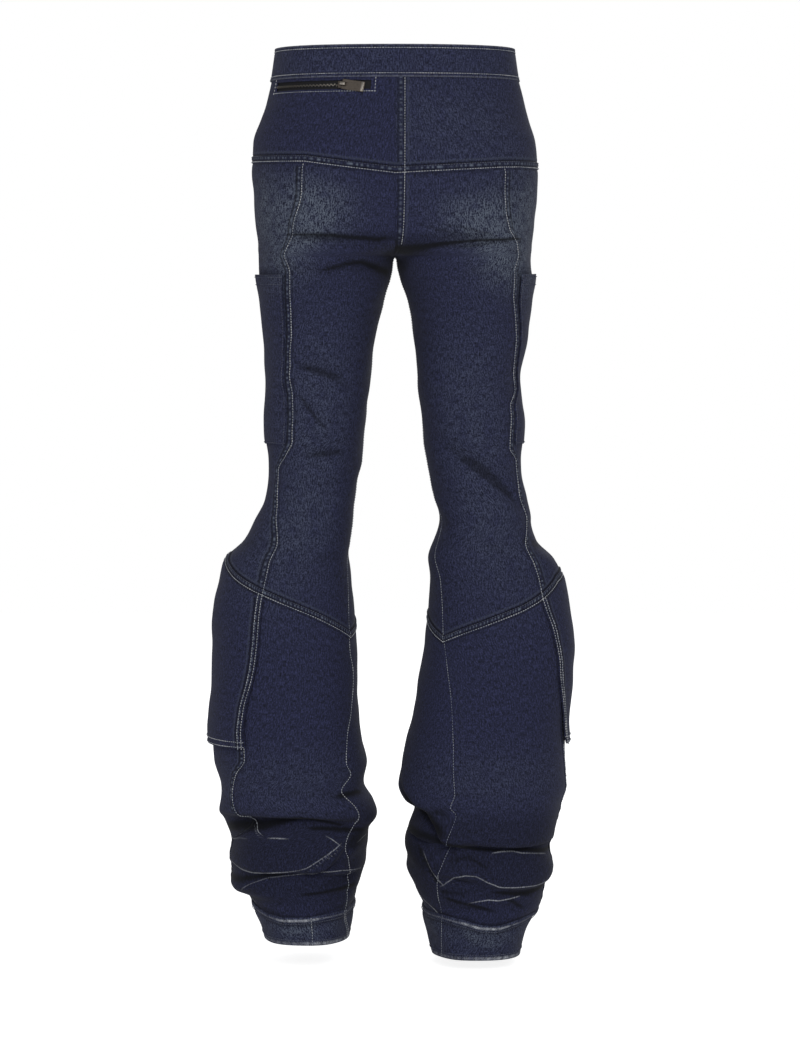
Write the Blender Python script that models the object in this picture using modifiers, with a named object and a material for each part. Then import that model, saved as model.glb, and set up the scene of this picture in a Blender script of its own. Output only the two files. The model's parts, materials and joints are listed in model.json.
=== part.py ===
"""Flared jeans in a worn stance: felled denim panels on each leg, a calf that stacks in folds above
the hem, patch pockets at the thigh, applied flaps at the calf, and a zip set in the left yoke.

Each leg is one smooth tube, read from a table of level sections. Every panel is a part of that tube
between its seams, so neighbours meet with an even gap, and what lies on a panel is made from the
panel's own points, moved out. The wearer faces +Y, +X is the wearer's right, and +Z is up."""

import math
from collections import namedtuple

import bmesh
import bpy
import numpy as np
from mathutils import Matrix, Vector

MM = 0.001

# --- Driving dimensions, in millimetres. Heights are measured from the floor. ---
WAIST_TOP = 1139.0
WAIST_SEAM = 1099.0
ORIGIN_HEIGHT = 1119.0        # middle of the waistband, where the wearer holds the garment up
CROTCH_HEIGHT = 881.0
POCKET_MOUTH = 860.0
POCKET_END = 650.0
FLAP_END = 278.0
ZIP_TOP = 1095.0
ZIP_BOTTOM = 1084.0
ZIP_LEVEL = (ZIP_TOP + ZIP_BOTTOM) / 2
HEM_EDGE = {"left": 32.0, "right": 13.0}

CLOTH = 1.8                   # wall of one denim layer, with its nap
DOUBLE_CLOTH = 2.6            # waistband and hem, turned double
GAP = 0.3                     # between two pieces that meet
FELL_WIDTH = 9.0              # flat top of a felled seam
FELL_EDGE = 11.0              # where its slope ends
FELL_RISE = 0.9
FORK_ROWS = 5                 # rows round the crotch where the inner seam lies flat
SQUARENESS = 0.10             # how far a section's corners stand out from an ellipse
TUCK_BELOW = 1.4              # a fold's tuck below its ridge, in the fold's own reach
CALM_WIDTH = 30.0             # strip beside the body's middle where folds fade out
SETTLE = 20                   # rounds in which two values that depend on each other settle
FRONT_SEAM = 232.0            # angle of the front side seam
POCKET_PROUD = 3.5            # how far the thigh pocket's mouth stands off
FLAP_PROUD = 4.5              # how far the calf flap's free edge stands off

# --- Sections. Angles run from the inner leg (0) over the back (90) and the outer side (180). ---
Section = namedtuple("Section", "height centre half_width depth_centre half_depth")

TORSO = [
    Section(1139, 0, 148, 0, 105),
    Section(1099, 1, 153, -2, 110),
    Section(1050, 4, 163, -5, 118),
    Section(1024, 6, 169, -7, 122),
    Section(994, 9, 168, -9, 125),
    Section(950, 18, 157, -12, 127),
    Section(925, 30, 143, -14, 127),
    Section(910, 42, 129.5, -14, 126),
    Section(899, 56, 114.5, -14, 125),
    Section(890, 70, 100.5, -13, 123),
    Section(884, 81, 89, -13, 121),
    Section(881, 85, 85, -12, 120),
]

LEG_SECTIONS = {
    "left": [
        Section(876, 86.2, 83.8, -12, 119),
        Section(868, 86.5, 83.3, -10, 116),
        Section(859, 87, 82, -8, 112),
        Section(829, 90, 76, -5, 103),
        Section(779, 93, 68, -2, 91),
        Section(729, 96, 65, 0, 84),
        Section(679, 99, 63, 2, 79),
        Section(654, 100, 61, 3, 76),
        Section(629, 100, 58, 4, 73),
        Section(604, 103, 55, 5, 70),
        Section(579, 107, 56, 6, 69),
        Section(554, 114, 61, 6, 71),
        Section(529, 122, 67, 5, 75),
        Section(504, 135, 78, 3, 80),
        Section(479, 137, 82, 0, 85),
        Section(454, 138, 86, -3, 90),
        Section(404, 137, 89, -7, 95),
        Section(354, 137, 90, -8, 98),
        Section(304, 137, 93, -8, 101),
        Section(278, 134, 94, -6, 103),
        Section(254, 131, 95, -4, 104),
        Section(224, 129, 89, -1, 104),
        Section(204, 123, 94, 0, 105),
        Section(189, 121, 96, 1, 105),
        Section(154, 119, 87, 2, 103),
        Section(124, 123, 85, 4, 101),
        Section(104, 125, 82, 5, 100),
        Section(94, 123, 77, 5, 100),
        Section(84, 116, 67, 6, 99),
        Section(64, 114, 60, 6, 98),
        Section(44, 111, 55, 6, 97),
        Section(20, 110, 50, 6, 95),
    ],
    "right": [
        Section(876, 86.2, 83.8, -12, 119),
        Section(868, 86.8, 83.6, -10, 116),
        Section(859, 88, 83, -8, 112),
        Section(829, 91, 76, -5, 103),
        Section(779, 94, 69, -2, 91),
        Section(729, 91, 63, 0, 84),
        Section(679, 97, 64, 2, 79),
        Section(654, 98, 62, 3, 76),
        Section(629, 99, 59, 4, 73),
        Section(604, 102, 57, 5, 70),
        Section(579, 107, 57, 6, 69),
        Section(554, 113, 57, 6, 71),
        Section(529, 113, 64, 5, 75),
        Section(504, 121, 80, 3, 80),
        Section(479, 127, 84, 0, 85),
        Section(454, 129, 87, -3, 90),
        Section(404, 130, 92, -7, 95),
        Section(354, 124, 95, -8, 98),
        Section(304, 117, 97, -8, 101),
        Section(278, 114, 100, -6, 103),
        Section(254, 111, 102, -4, 104),
        Section(224, 109, 104, -1, 104),
        Section(204, 110, 98, 0, 105),
        Section(194, 115, 91, 1, 105),
        Section(184, 113, 91, 1, 105),
        Section(154, 105, 91, 2, 103),
        Section(124, 106, 93, 4, 101),
        Section(94, 106, 82, 5, 100),
        Section(74, 108, 75, 6, 99),
        Section(54, 104, 67, 6, 98),
        Section(34, 103, 59, 6, 97),
        Section(5, 102, 52, 6, 95),
    ],
}

# --- Seams that run down the leg: their angle at each height. ---
Seam = namedtuple("Seam", "height angle")

BACK_SEAM = {
    "left": [
        Seam(1139, 129), Seam(1060, 129), Seam(1000, 124), Seam(962, 124), Seam(914, 127),
        Seam(890, 124), Seam(860, 116), Seam(792, 116), Seam(742, 118), Seam(709, 113),
        Seam(656, 111), Seam(636, 122), Seam(618, 134), Seam(585, 130), Seam(506, 102),
        Seam(464, 105), Seam(380, 110), Seam(321, 118), Seam(263, 120), Seam(242, 131),
        Seam(224, 137), Seam(208, 132), Seam(192, 126), Seam(180, 125), Seam(172, 132),
        Seam(162, 152), Seam(152, 168), Seam(140, 174), Seam(20, 174),
    ],
    "right": [
        Seam(1139, 135), Seam(987, 134), Seam(938, 134), Seam(914, 136), Seam(899, 142),
        Seam(886, 138), Seam(860, 130), Seam(817, 133), Seam(743, 143), Seam(719, 150),
        Seam(697, 134), Seam(646, 130), Seam(629, 143), Seam(592, 143), Seam(561, 150),
        Seam(507, 125), Seam(461, 124), Seam(421, 131), Seam(370, 139), Seam(313, 153),
        Seam(272, 159), Seam(240, 166), Seam(212, 173), Seam(185, 176), Seam(5, 176),
    ],
}

INSEAM = {
    "left": [
        Seam(881, 0), Seam(840, -6), Seam(700, -10), Seam(560, 0), Seam(470, 20), Seam(408, 27),
        Seam(367, 22), Seam(326, 27), Seam(279, 39), Seam(256, 43), Seam(242, 38), Seam(222, 48),
        Seam(203, 42), Seam(184, 43), Seam(163, 52), Seam(122, 38), Seam(65, 34), Seam(20, 26),
    ],
    "right": [
        Seam(881, 0), Seam(840, -6), Seam(700, -8), Seam(600, 4), Seam(531, 24), Seam(486, 35),
        Seam(415, 41), Seam(397, 45), Seam(353, 56), Seam(299, 64), Seam(252, 69), Seam(221, 71),
        Seam(202, 66), Seam(159, 65), Seam(104, 54), Seam(57, 46), Seam(5, 37),
    ],
}

# --- Seams that run round: their height at each angle. ---
Round = namedtuple("Round", "angle height")

KNEE_SEAM = {
    "left": [
        Round(27, 409), Round(72, 441), Round(105, 463), Round(140, 486), Round(172, 506),
        Round(232, 480), Round(300, 444), Round(387, 409),
    ],
    "right": [
        Round(43, 405), Round(77, 425), Round(106, 444), Round(130, 462), Round(150, 478),
        Round(175, 487), Round(232, 474), Round(300, 448), Round(365, 429), Round(403, 405),
    ],
}

HEM_TOP = {
    "left": [Round(0, 75), Round(50, 72), Round(85, 68), Round(112, 67), Round(134, 71),
             Round(155, 78), Round(250, 77), Round(360, 75)],
    "right": [Round(0, 70), Round(50, 69), Round(74, 64), Round(92, 58), Round(108, 57),
              Round(124, 62), Round(150, 67), Round(250, 70), Round(360, 70)],
}
YOKE_SEAM = {
    "left": [Round(0, 946.5), Round(124, 994.5), Round(165, 996.5), Round(360, 1001)],
    "right": [Round(0, 964.9), Round(131, 987.5), Round(143, 988.5), Round(360, 992)],
}

# --- Folds. A fold's ridge bulges out and hangs down over the tuck below it. ---
# height and angle are its middle, span its half width in degrees, tilt its rise for each 90
# degrees, sag its rise at the ends, and reach half its height; the rest are lengths.
Fold = namedtuple("Fold", "height angle span tilt sag out tuck droop reach")

FOLDS = {
    "left": [
        Fold(195, 100, 70, 4, -16, 7, 9, 18, 14),
        Fold(199, 126, 24, 2, 0, 0, 8, 0, 10),
        Fold(126, 100, 56, -10, 4, 7, 7, 16, 12),
        Fold(146, 64, 16, -105, 0, 4, 5, 8, 9),
        Fold(121, 46, 32, 0, 0, 5, 5, 10, 10),
        Fold(100, 138, 28, -36, 0, 5, 4, 8, 10),
        Fold(190, 285, 60, -8, -10, 7, 8, 18, 14),
        Fold(132, 262, 58, 12, 5, 7, 7, 14, 12),
        Fold(236, 250, 40, 14, 0, 4, 5, 6, 14),
        Fold(922, 108, 30, 10, 0, 1, 4, 0, 12),
        Fold(760, 88, 36, 28, -4, 2, 4, 0, 14),
        Fold(658, 80, 34, -8, 0, 2, 4, 0, 14),
    ],
    "right": [
        Fold(157, 114, 60, -6, -4, 8, 9, 18, 13),
        Fold(188, 46, 26, -110, 0, 6, 8, 12, 11),
        Fold(120, 76, 20, -8, -4, 5, 6, 10, 10),
        Fold(104, 130, 42, 0, 0, 6, 7, 12, 11),
        Fold(88, 104, 40, 6, 0, 3, 4, 5, 10),
        Fold(196, 275, 60, 8, -10, 7, 8, 18, 14),
        Fold(140, 292, 58, -12, 5, 7, 7, 14, 12),
        Fold(238, 262, 42, -12, 0, 4, 5, 6, 14),
        Fold(912, 110, 34, 19, 0, 1, 4, 0, 12),
        Fold(638, 98, 44, -72, -8, 3, 5, 0, 15),
    ],
}

# --- Rows of points: guide lines from the hem up, and how many steps lie between two of them. ---
Zone = namedtuple("Zone", "name below above steps bias")

ZONES = [
    Zone("hem", "hem_edge", "hem_top", 2, 1.0),
    Zone("stack", "hem_top", "flap_end", 28, 1.0),
    Zone("calf", "flap_end", "knee", 5, 1.0),
    Zone("knee_fell", "knee", "knee_fell", 1, 1.0),
    Zone("knee_slope", "knee_fell", "knee_edge", 1, 1.0),
    Zone("knee", "knee_edge", "pocket_end", 5, 1.0),
    Zone("thigh", "pocket_end", "pocket_mouth", 5, 1.0),
    Zone("fork", "pocket_mouth", "crotch", 3, 1.0),
    Zone("seat", "crotch", "yoke", 9, 2.0),
    Zone("yoke_fell", "yoke", "yoke_fell", 1, 1.0),
    Zone("yoke_slope", "yoke_fell", "yoke_edge", 1, 1.0),
    Zone("yoke", "yoke_edge", "zip_bottom", 2, 1.0),
    Zone("zip", "zip_bottom", "zip_top", 1, 1.0),
    Zone("top", "zip_top", "waist", 1, 1.0),
]

# Columns of points across each panel, as shares of its width. "fell" and "edge" are the two lines
# of the felled seam that a panel carries along its first edge.
COLUMNS = {
    "back": (0.0, "fell", "edge", 0.25, 0.38, 0.51, 0.64, 0.76, 0.88, 1.0),
    "side": (0.0, "fell", "edge", 0.28, 0.42, 0.57, 0.71, 0.85, 1.0),
    "front": (0.0, 0.14, 0.28, 0.42, 0.56, 0.70, 0.85, 1.0),
    "yoke_back": (0.0, 0.08, 0.17, 0.25, 0.34, 0.43, 0.53, 0.62, 0.71, 0.81, 0.90, 1.0),
    "yoke_side": (0.0, 0.07, 0.14, 0.21, 0.28, 0.40, 0.52, 0.64, 0.76, 0.88, 1.0),
}
ZIP_FROM = 3                  # first column of the yoke that the zip's slot reaches
ZIP_TO = 15                   # and the last one

# --- Zip, button and fly ---
ZIP_GAP = 0.6                 # tape to yoke, and placket to front: their chords differ a little
TAPE_THICKNESS = 1.0
TAPE_MARGIN = 8.0             # how far the tape reaches past the slot's ends
TAPE_LOW = 1074.0
TAPE_HIGH = 1098.0
CHAIN_LOW = 1087.0
CHAIN_HIGH = 1092.0
CHAIN_THICKNESS = 1.4
CHAIN_FIRST_STEP = 2.0        # degrees from the slider to the chain's next points, at least
SLIDER_ANGLE = 111.5
SLIDER_LENGTH = 13.0
SLIDER_WIDTH = 8.5
SLIDER_TOP = 1.2              # above the yoke's face
ARCH_LENGTH = 6.8
ARCH_WIDTH = 3.0
ARCH_POST = 1.2
ARCH_TOP = 5.0
AXIS_STANDOFF = 2.6           # the pull's hinge axis, above the yoke's face
PULL_LENGTH = 27.0
PULL_WIDTH = 13.0
PULL_THICKNESS = 1.5
PULL_TILT = 8.0               # degrees that the pull hangs below level
PULL_LEAN = 4.0               # degrees that it leans in to rest on the cloth
PULL_HOLE = (5.2, 5.2)        # length and width of the hole that the arch passes through
BUTTON_RADIUS = 8.5
BUTTON_HEIGHT = 3.0
BUTTON_X = -4.0
LAP = 3.0                     # how far the waistband's left end stands out over its right end
LAP_START = 322.0             # turn, from the middle of the front, where the band begins to lift
LAP_RAMP = 22.0               # degrees in which it reaches its full lift
BAND_FROM = -14.0             # turns of the band's two ends, past each other at the front
BAND_TO = 358.0
BAND_STEP = 6.0
BAND_RISE = 0.8

# The fly placket's width at each height: straight, then curved in to the middle at its foot.
Placket = namedtuple("Placket", "height width")
PLACKET = [
    Placket(951, 8), Placket(955, 19), Placket(963, 28), Placket(975, 34), Placket(990, 36),
    Placket(1030, 36), Placket(1065, 36), Placket(WAIST_SEAM - GAP / 2, 36),
]
PLACKET_COLUMNS = (1.0, 0.66, 0.33, 0.0)

DENIM = (0.022, 0.028, 0.062)
FADED = (0.032, 0.040, 0.080)
TAPE = (0.008, 0.008, 0.010)
NICKEL = (0.16, 0.16, 0.17)


# --- Reading the tables ---

def read_curve(places, values, place):
    """Read values at any place on a smooth curve that never overshoots the values it joins."""
    places = np.asarray(places, float)
    values = np.asarray(values, float)
    steps = np.diff(places)
    slopes = np.diff(values) / steps
    tangents = np.empty_like(values)
    tangents[0] = slopes[0]
    tangents[-1] = slopes[-1]
    before, after = slopes[:-1], slopes[1:]
    same_way = before * after > 0
    total = np.where(same_way, before + after, 1.0)
    tangents[1:-1] = np.where(same_way, 2.0 * before * after / total, 0.0)
    place = np.clip(place, places[0], places[-1])
    i = np.clip(np.searchsorted(places, place, side="right") - 1, 0, len(steps) - 1)
    t = (place - places[i]) / steps[i]
    return (values[i] * (1 + 2 * t) * (1 - t) ** 2
            + tangents[i] * steps[i] * t * (1 - t) ** 2
            + values[i + 1] * t * t * (3 - 2 * t)
            + tangents[i + 1] * steps[i] * t * t * (t - 1))


def read_rows(rows, column, height):
    """Read one named column of a table of rows at any height."""
    rows = sorted(rows)
    return read_curve([row.height for row in rows], [getattr(row, column) for row in rows], height)


def read_round(rows, angle):
    """Read the height of a seam that runs round the leg, straight from point to point."""
    angles = [row.angle for row in rows]
    heights = [row.height for row in rows]
    turned = (np.asarray(angle, float) - angles[0]) % 360.0 + angles[0]
    return np.interp(turned, angles, heights)


# --- The leg as one smooth tube ---

def section(leg, height):
    rows = TORSO + LEG_SECTIONS[leg]
    return [read_rows(rows, column, height) for column in Section._fields[1:]]


def inner_angle(leg, height):
    """The angle of the inner edge: the inseam, or the middle of the body above the crotch."""
    centre, half_width, _, _ = section(leg, height)
    share = np.clip(centre / half_width, -1.0, 1.0)
    cosine = share.copy()
    for _ in range(SETTLE):
        cosine = np.clip(share / (1 + SQUARENESS * (1 - cosine ** 2)), -1.0, 1.0)
    middle = np.degrees(np.arccos(cosine))
    return np.where(height >= CROTCH_HEIGHT, middle, read_rows(INSEAM[leg], "angle", height))


def fold_shift(leg, angle, height):
    """How far the folds push a point out, and how far they let it down."""
    out = np.zeros(np.broadcast(angle, height).shape)
    down = np.zeros_like(out)
    for fold in FOLDS[leg]:
        away = (angle - fold.angle + 180.0) % 360.0 - 180.0
        part = away / fold.span
        window = np.exp(-part ** 2)
        line = fold.height + fold.tilt * away / 90.0 + fold.sag * np.clip(part ** 2, 0, 1)
        t = (height - line - fold.droop) / fold.reach
        out = out + window * (fold.out * np.exp(-t ** 2) - fold.tuck * np.exp(-(t + TUCK_BELOW) ** 2))
        down = down + window * fold.droop * np.exp(-t ** 2)
    return out, down


def surface(leg, angle, height):
    """Points of the leg's tube in the right leg's frame, with x measured out from the middle."""
    angle = np.asarray(angle, float)
    height = np.asarray(height, float)
    out, down = fold_shift(leg, angle, height)
    level = height - down
    centre, half_width, depth_centre, half_depth = section(leg, level)
    cosine = np.cos(np.radians(angle))
    sine = np.sin(np.radians(angle))
    across = cosine * (1 + SQUARENESS * sine ** 2)
    deep = sine * (1 + SQUARENESS * cosine ** 2)
    x = centre - half_width * across
    y = depth_centre - half_depth * deep
    outward_x = -cosine * half_depth
    outward_y = -sine * half_width
    length = np.hypot(outward_x, outward_y)
    # Folds fade out at the middle of the body, where the two halves have to meet.
    calm = np.where(level > CROTCH_HEIGHT, np.clip(x / CALM_WIDTH, 0.0, 1.0) ** 2, 1.0)
    return np.stack([x + calm * out * outward_x / length,
                     y + calm * out * outward_y / length, level], axis=-1)


def normal(leg, angle, height):
    around = surface(leg, angle + 0.5, height) - surface(leg, angle - 0.5, height)
    upward = surface(leg, angle, height + 0.5) - surface(leg, angle, height - 0.5)
    across = np.cross(around, upward)
    return across / np.linalg.norm(across, axis=-1, keepdims=True)


# --- Grids of points over the tube ---

def guide(leg, name, angle):
    """The height of a guide line at an angle."""
    level = {
        "hem_edge": HEM_EDGE[leg], "flap_end": FLAP_END,
        "pocket_end": POCKET_END, "pocket_mouth": POCKET_MOUTH, "crotch": CROTCH_HEIGHT,
        "zip_bottom": ZIP_BOTTOM, "zip_top": ZIP_TOP, "waist": WAIST_SEAM,
    }
    if name in level:
        return np.full(np.shape(angle), level[name])
    lines = {"hem": HEM_TOP, "knee": KNEE_SEAM, "yoke": YOKE_SEAM}
    seam = read_round(lines[name.partition("_")[0]][leg], angle)
    return seam + {"fell": FELL_WIDTH, "edge": FELL_EDGE}.get(name.rpartition("_")[2], 0.0)


def zone_rows():
    """The first and the last row of each zone, by name."""
    spans = {}
    row = 0
    for zone in ZONES:
        spans[zone.name] = (row, row + zone.steps)
        row += zone.steps
    return spans


def row_height(leg, row, angle):
    first = 0
    for zone in ZONES:
        if row <= first + zone.steps:
            share = ((row - first) / zone.steps) ** zone.bias
            below = guide(leg, zone.below, angle)
            return below + share * (guide(leg, zone.above, angle) - below)
        first += zone.steps
    return guide(leg, "waist", angle)


def panel_edges(leg, panel, height):
    inner = inner_angle(leg, height)
    back = read_rows(BACK_SEAM[leg], "angle", height)
    front = np.full(np.shape(height), FRONT_SEAM)
    inner_front = np.where(height >= CROTCH_HEIGHT, 360.0 - inner, 360.0 + inner)
    edges = {"back": (inner, back), "side": (back, front), "front": (front, inner_front)}
    return edges[panel.rpartition("_")[2]]


def column_angle(leg, panel, column, height):
    first, last = panel_edges(leg, panel, height)
    if column in ("fell", "edge"):
        _, half_width, _, half_depth = section(leg, height)
        arc = np.radians(last - first) * (half_width + half_depth) / 2
        column = {"fell": FELL_WIDTH, "edge": FELL_EDGE}[column] / arc
    return first + column * (last - first)


Grid = namedtuple("Grid", "points normals")


def grid(leg, panels, rows):
    """The tube's points and normals on the rows and on the columns of one or more panels."""
    columns = []
    for i, panel in enumerate(panels):
        columns += [(panel, column) for column in COLUMNS[panel][(1 if i else 0):]]
    angles = np.full((len(rows), len(columns)), 120.0)
    heights = np.stack([row_height(leg, row, line) for row, line in zip(rows, angles)])
    # A seam's angle depends on the height, and a row's height on the angle: both settle together.
    for _ in range(SETTLE):
        for c, (panel, column) in enumerate(columns):
            angles[:, c] = column_angle(leg, panel, column, heights[:, c])
        for r, row in enumerate(rows):
            heights[r] = row_height(leg, row, angles[r])
    return Grid(surface(leg, angles, heights), normal(leg, angles, heights))


def inset(shape, closed=False):
    """Draw the edges of a grid in by half a gap, along the surface and square to each edge."""
    points = shape.points.copy()
    normals = shape.normals
    edges = [(0, 1), (-1, -2)]
    lines = [(points[at], normals[at], points[beside]) for at, beside in edges]
    if not closed:
        lines += [(points[:, at], normals[:, at], points[:, beside]) for at, beside in edges]
    moves = []
    for edge, facing, beside in lines:
        along = np.gradient(edge, axis=0)
        square = np.cross(along, facing)
        square /= np.linalg.norm(square, axis=-1, keepdims=True)
        toward = np.sign(np.sum(square * (beside - edge), axis=-1, keepdims=True))
        moves.append(GAP / 2 * toward * square)
    for (edge, _, _), move in zip(lines, moves):
        edge += move
    return points


def off_middle(points):
    """Keep a half of the body on its own side of the middle."""
    points[..., 0] = np.maximum(points[..., 0], GAP / 2)
    return points


# --- Objects ---

for old in list(bpy.data.objects):
    bpy.data.objects.remove(old, do_unlink=True)
garment = bpy.data.collections.new("flared_jeans")
bpy.context.scene.collection.children.link(garment)


def material(name, colour, roughness, metallic=0.0):
    made = bpy.data.materials.new(name)
    made.use_nodes = True
    shader = made.node_tree.nodes["Principled BSDF"]
    shader.inputs["Base Color"].default_value = (*colour, 1.0)
    shader.inputs["Roughness"].default_value = roughness
    shader.inputs["Metallic"].default_value = metallic
    return made


def add_object(name, mesh, finish):
    mesh.materials.append(material(f"{name}_finish", *finish))
    mesh.shade_smooth()
    mesh.set_sharp_from_angle(angle=math.radians(40))
    made = bpy.data.objects.new(name, mesh)
    garment.objects.link(made)
    return made


def placed(points, side):
    """Millimetres in the leg's frame to metres in the garment's."""
    moved = points * MM
    moved[..., 0] *= side
    moved[..., 2] -= ORIGIN_HEIGHT * MM
    return moved


def wall(name, outer, inner, side, finish, closed=False, holes=()):
    """A closed wall between two grids of points, with its rims, and open at the given cells."""
    rows, columns = outer.shape[:2]
    count = rows * columns
    points = np.concatenate([placed(outer, side).reshape(-1, 3), placed(inner, side).reshape(-1, 3)])
    faces = []
    sides = set()
    for r in range(rows - 1):
        for c in range(columns if closed else columns - 1):
            if (r, c) in holes:
                continue
            d = (c + 1) % columns
            low, low_next, high, high_next = r * columns + c, r * columns + d, \
                (r + 1) * columns + c, (r + 1) * columns + d
            rising = np.linalg.norm(points[low] - points[high_next])
            falling = np.linalg.norm(points[low_next] - points[high])
            if rising <= falling:
                cell = [(low, high, high_next), (low, high_next, low_next)]
            else:
                cell = [(low, high, low_next), (high, high_next, low_next)]
            faces += cell
            faces += [tuple(count + i for i in reversed(face)) for face in cell]
            for face in cell:
                sides.update(zip(face, face[1:] + face[:1]))
    for start, end in sorted(sides):
        if (end, start) in sides:
            continue
        # The rim's diagonal runs the same way on both sides of a seam.
        if start < end:
            faces += [(end, start, count + end), (start, count + start, count + end)]
        else:
            faces += [(end, start, count + start), (end, count + start, count + end)]
    if side > 0:
        faces = [tuple(reversed(face)) for face in faces]
    mesh = bpy.data.meshes.new(name)
    mesh.from_pydata([tuple(p) for p in points], [], faces)
    work = bmesh.new()
    work.from_mesh(mesh)
    loose = [vert for vert in work.verts if not vert.link_faces]
    bmesh.ops.delete(work, geom=loose, context="VERTS")
    work.to_mesh(mesh)
    work.free()
    return add_object(name, mesh, finish)


SIDES = {"left": -1, "right": 1}
ROWS = zone_rows()


def row_range(first_zone, last_zone):
    return list(range(ROWS[first_zone][0], ROWS[last_zone][1] + 1))


def fell(shape, leg, panel, rows):
    """How far each outer point is raised by a felled seam, whose band lies along a first edge.

    The neighbour's edge rises with it, so that the two rims at the seam stay alike."""
    rise = np.zeros(shape)
    crotch = ROWS["seat"][0]
    for r, row in enumerate(rows):
        inner_seam = row < crotch - 1 or row > crotch + FORK_ROWS and leg == "right"
        if panel == "side" or panel == "back" and inner_seam:
            rise[r, :2] = FELL_RISE
        if panel == "back" or panel == "front" and row < crotch - 1:
            rise[r, -1] = FELL_RISE
        if row in ROWS["knee_fell"] or row in ROWS["yoke_fell"] and panel == "yoke":
            rise[r, :] = FELL_RISE
    return rise[..., None]


def build_panel(leg, name, panels, rows, kind, holes=()):
    shape = grid(leg, panels, rows)
    points = inset(shape)
    outer = off_middle(points + fell(points.shape[:2], leg, kind, rows) * shape.normals)
    inner = off_middle(points - CLOTH * shape.normals)
    wall(f"{name}_{leg}", outer, inner, SIDES[leg], (DENIM, 0.85), holes=holes)
    return Grid(outer, shape.normals)


def build_leg(leg):
    side = SIDES[leg]
    upper = row_range("knee_fell", "seat")
    lower = row_range("stack", "calf")
    build_panel(leg, "upper_back", ["back"], upper, "back")
    side_outer = build_panel(leg, "upper_side", ["side"], upper, "side")
    build_panel(leg, "upper_front", ["front"], row_range("knee_fell", "top"), "front")
    build_panel(leg, "calf_back", ["back"], lower, "back")
    calf_outer = build_panel(leg, "calf_side", ["side"], lower, "side")
    build_panel(leg, "calf_front", ["front"], lower, "front")

    # The yoke, with the zip's slot cut through its left half.
    rows = row_range("yoke_fell", "top")
    slot_row = rows.index(ROWS["zip"][0])
    slot = [(slot_row, c) for c in range(ZIP_FROM, ZIP_TO)] if leg == "left" else []
    build_panel(leg, "yoke", ["yoke_back", "yoke_side"], rows, "yoke", holes=slot)

    # Hem band: one ring, turned double.
    hem = grid(leg, ["back", "side", "front"], row_range("hem", "hem"))
    normals = hem.normals[:, :-1]
    points = inset(Grid(hem.points[:, :-1], normals), closed=True)
    wall(f"hem_band_{leg}", points + FELL_RISE * normals,
         points - (DOUBLE_CLOTH - FELL_RISE) * normals, side, (DENIM, 0.85), closed=True)

    # Thigh pocket: lies on the side panel, and its mouth stands off.
    first, last = (upper.index(row) for row in ROWS["thigh"])
    patch = Grid(side_outer.points[first:last + 1, 2:-1], side_outer.normals[first:last + 1, 2:-1])
    proud = np.linspace(0, 1, last - first + 1)[:, None, None] ** 4 * POCKET_PROUD
    base = patch.points + (GAP + proud) * patch.normals
    wall(f"thigh_pocket_{leg}", base + CLOTH * patch.normals, base, side, (FADED, 0.85))

    # Calf flap: hangs from the knee seam over the side panel, free along its lower edge.
    first = lower.index(ROWS["calf"][0])
    patch = Grid(calf_outer.points[first:, :-1], calf_outer.normals[first:, :-1])
    proud = np.linspace(1, 0, len(patch.points))[:, None, None] ** 3 * FLAP_PROUD
    base = patch.points + (GAP + proud) * patch.normals
    wall(f"calf_flap_{leg}", base + CLOTH * patch.normals, base, side, (FADED, 0.85))


def build_waistband():
    """A turned band round the waist, whose left end laps over its right end at the front."""
    turns = np.radians(np.arange(BAND_FROM, BAND_TO + BAND_STEP, BAND_STEP))
    heights = np.array([WAIST_SEAM + GAP / 2, ORIGIN_HEIGHT, WAIST_TOP])[:, None]
    centre, half_width, depth_centre, half_depth = section("left", heights)
    width = centre + half_width
    x = width * np.sin(turns) * (1 + SQUARENESS * np.cos(turns) ** 2)
    y = depth_centre + half_depth * np.cos(turns) * (1 + SQUARENESS * np.sin(turns) ** 2)
    points = np.stack([x, y, np.broadcast_to(heights, x.shape)], axis=-1)
    normals = np.stack([np.sin(turns) * half_depth, np.cos(turns) * width, 0 * x], axis=-1)
    normals = normals / np.linalg.norm(normals, axis=-1, keepdims=True)
    ramp = np.clip((np.degrees(turns) - LAP_START) / LAP_RAMP, 0, 1)
    lap = (LAP * ramp * ramp * (3 - 2 * ramp))[:, None]
    outer = points + (BAND_RISE + lap) * normals
    inner = points + (BAND_RISE + lap - DOUBLE_CLOTH) * normals
    wall("waistband", outer[:, ::-1], inner[:, ::-1], 1, (DENIM, 0.85))


def build_fly():
    """The placket on the left front, curved in to the middle at its lower end."""
    heights = np.array([row.height for row in PLACKET], float)
    width = np.array([row.width for row in PLACKET], float)
    _, half_width, _, _ = section("left", heights)
    last = 360.0 - inner_angle("left", heights)
    angles = last[:, None] - np.degrees(width / half_width)[:, None] * PLACKET_COLUMNS
    tall = np.broadcast_to(heights[:, None], angles.shape)
    normals = normal("left", angles, tall)
    base = surface("left", angles, tall) + ZIP_GAP * normals
    base[:, -1, 0] = GAP / 2
    outer = base + CLOTH * normals
    wall("fly_placket", off_middle(outer), off_middle(base), -1, (DENIM, 0.85))


def tube_patch(angles, heights, offset):
    """Points of the left leg's tube on a plain grid, moved out, with their normals."""
    angles, heights = np.meshgrid(angles, heights)
    normals = normal("left", angles, heights)
    return surface("left", angles, heights) + offset * normals, normals


def slot_angles():
    """The angles of the yoke's columns along the zip's slot."""
    columns = [("yoke_back", share) for share in COLUMNS["yoke_back"]]
    columns += [("yoke_side", share) for share in COLUMNS["yoke_side"][1:]]
    level = np.array((ZIP_LEVEL,))
    return [float(column_angle("left", *column, level)[0]) for column in columns[ZIP_FROM:ZIP_TO + 1]]


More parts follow.
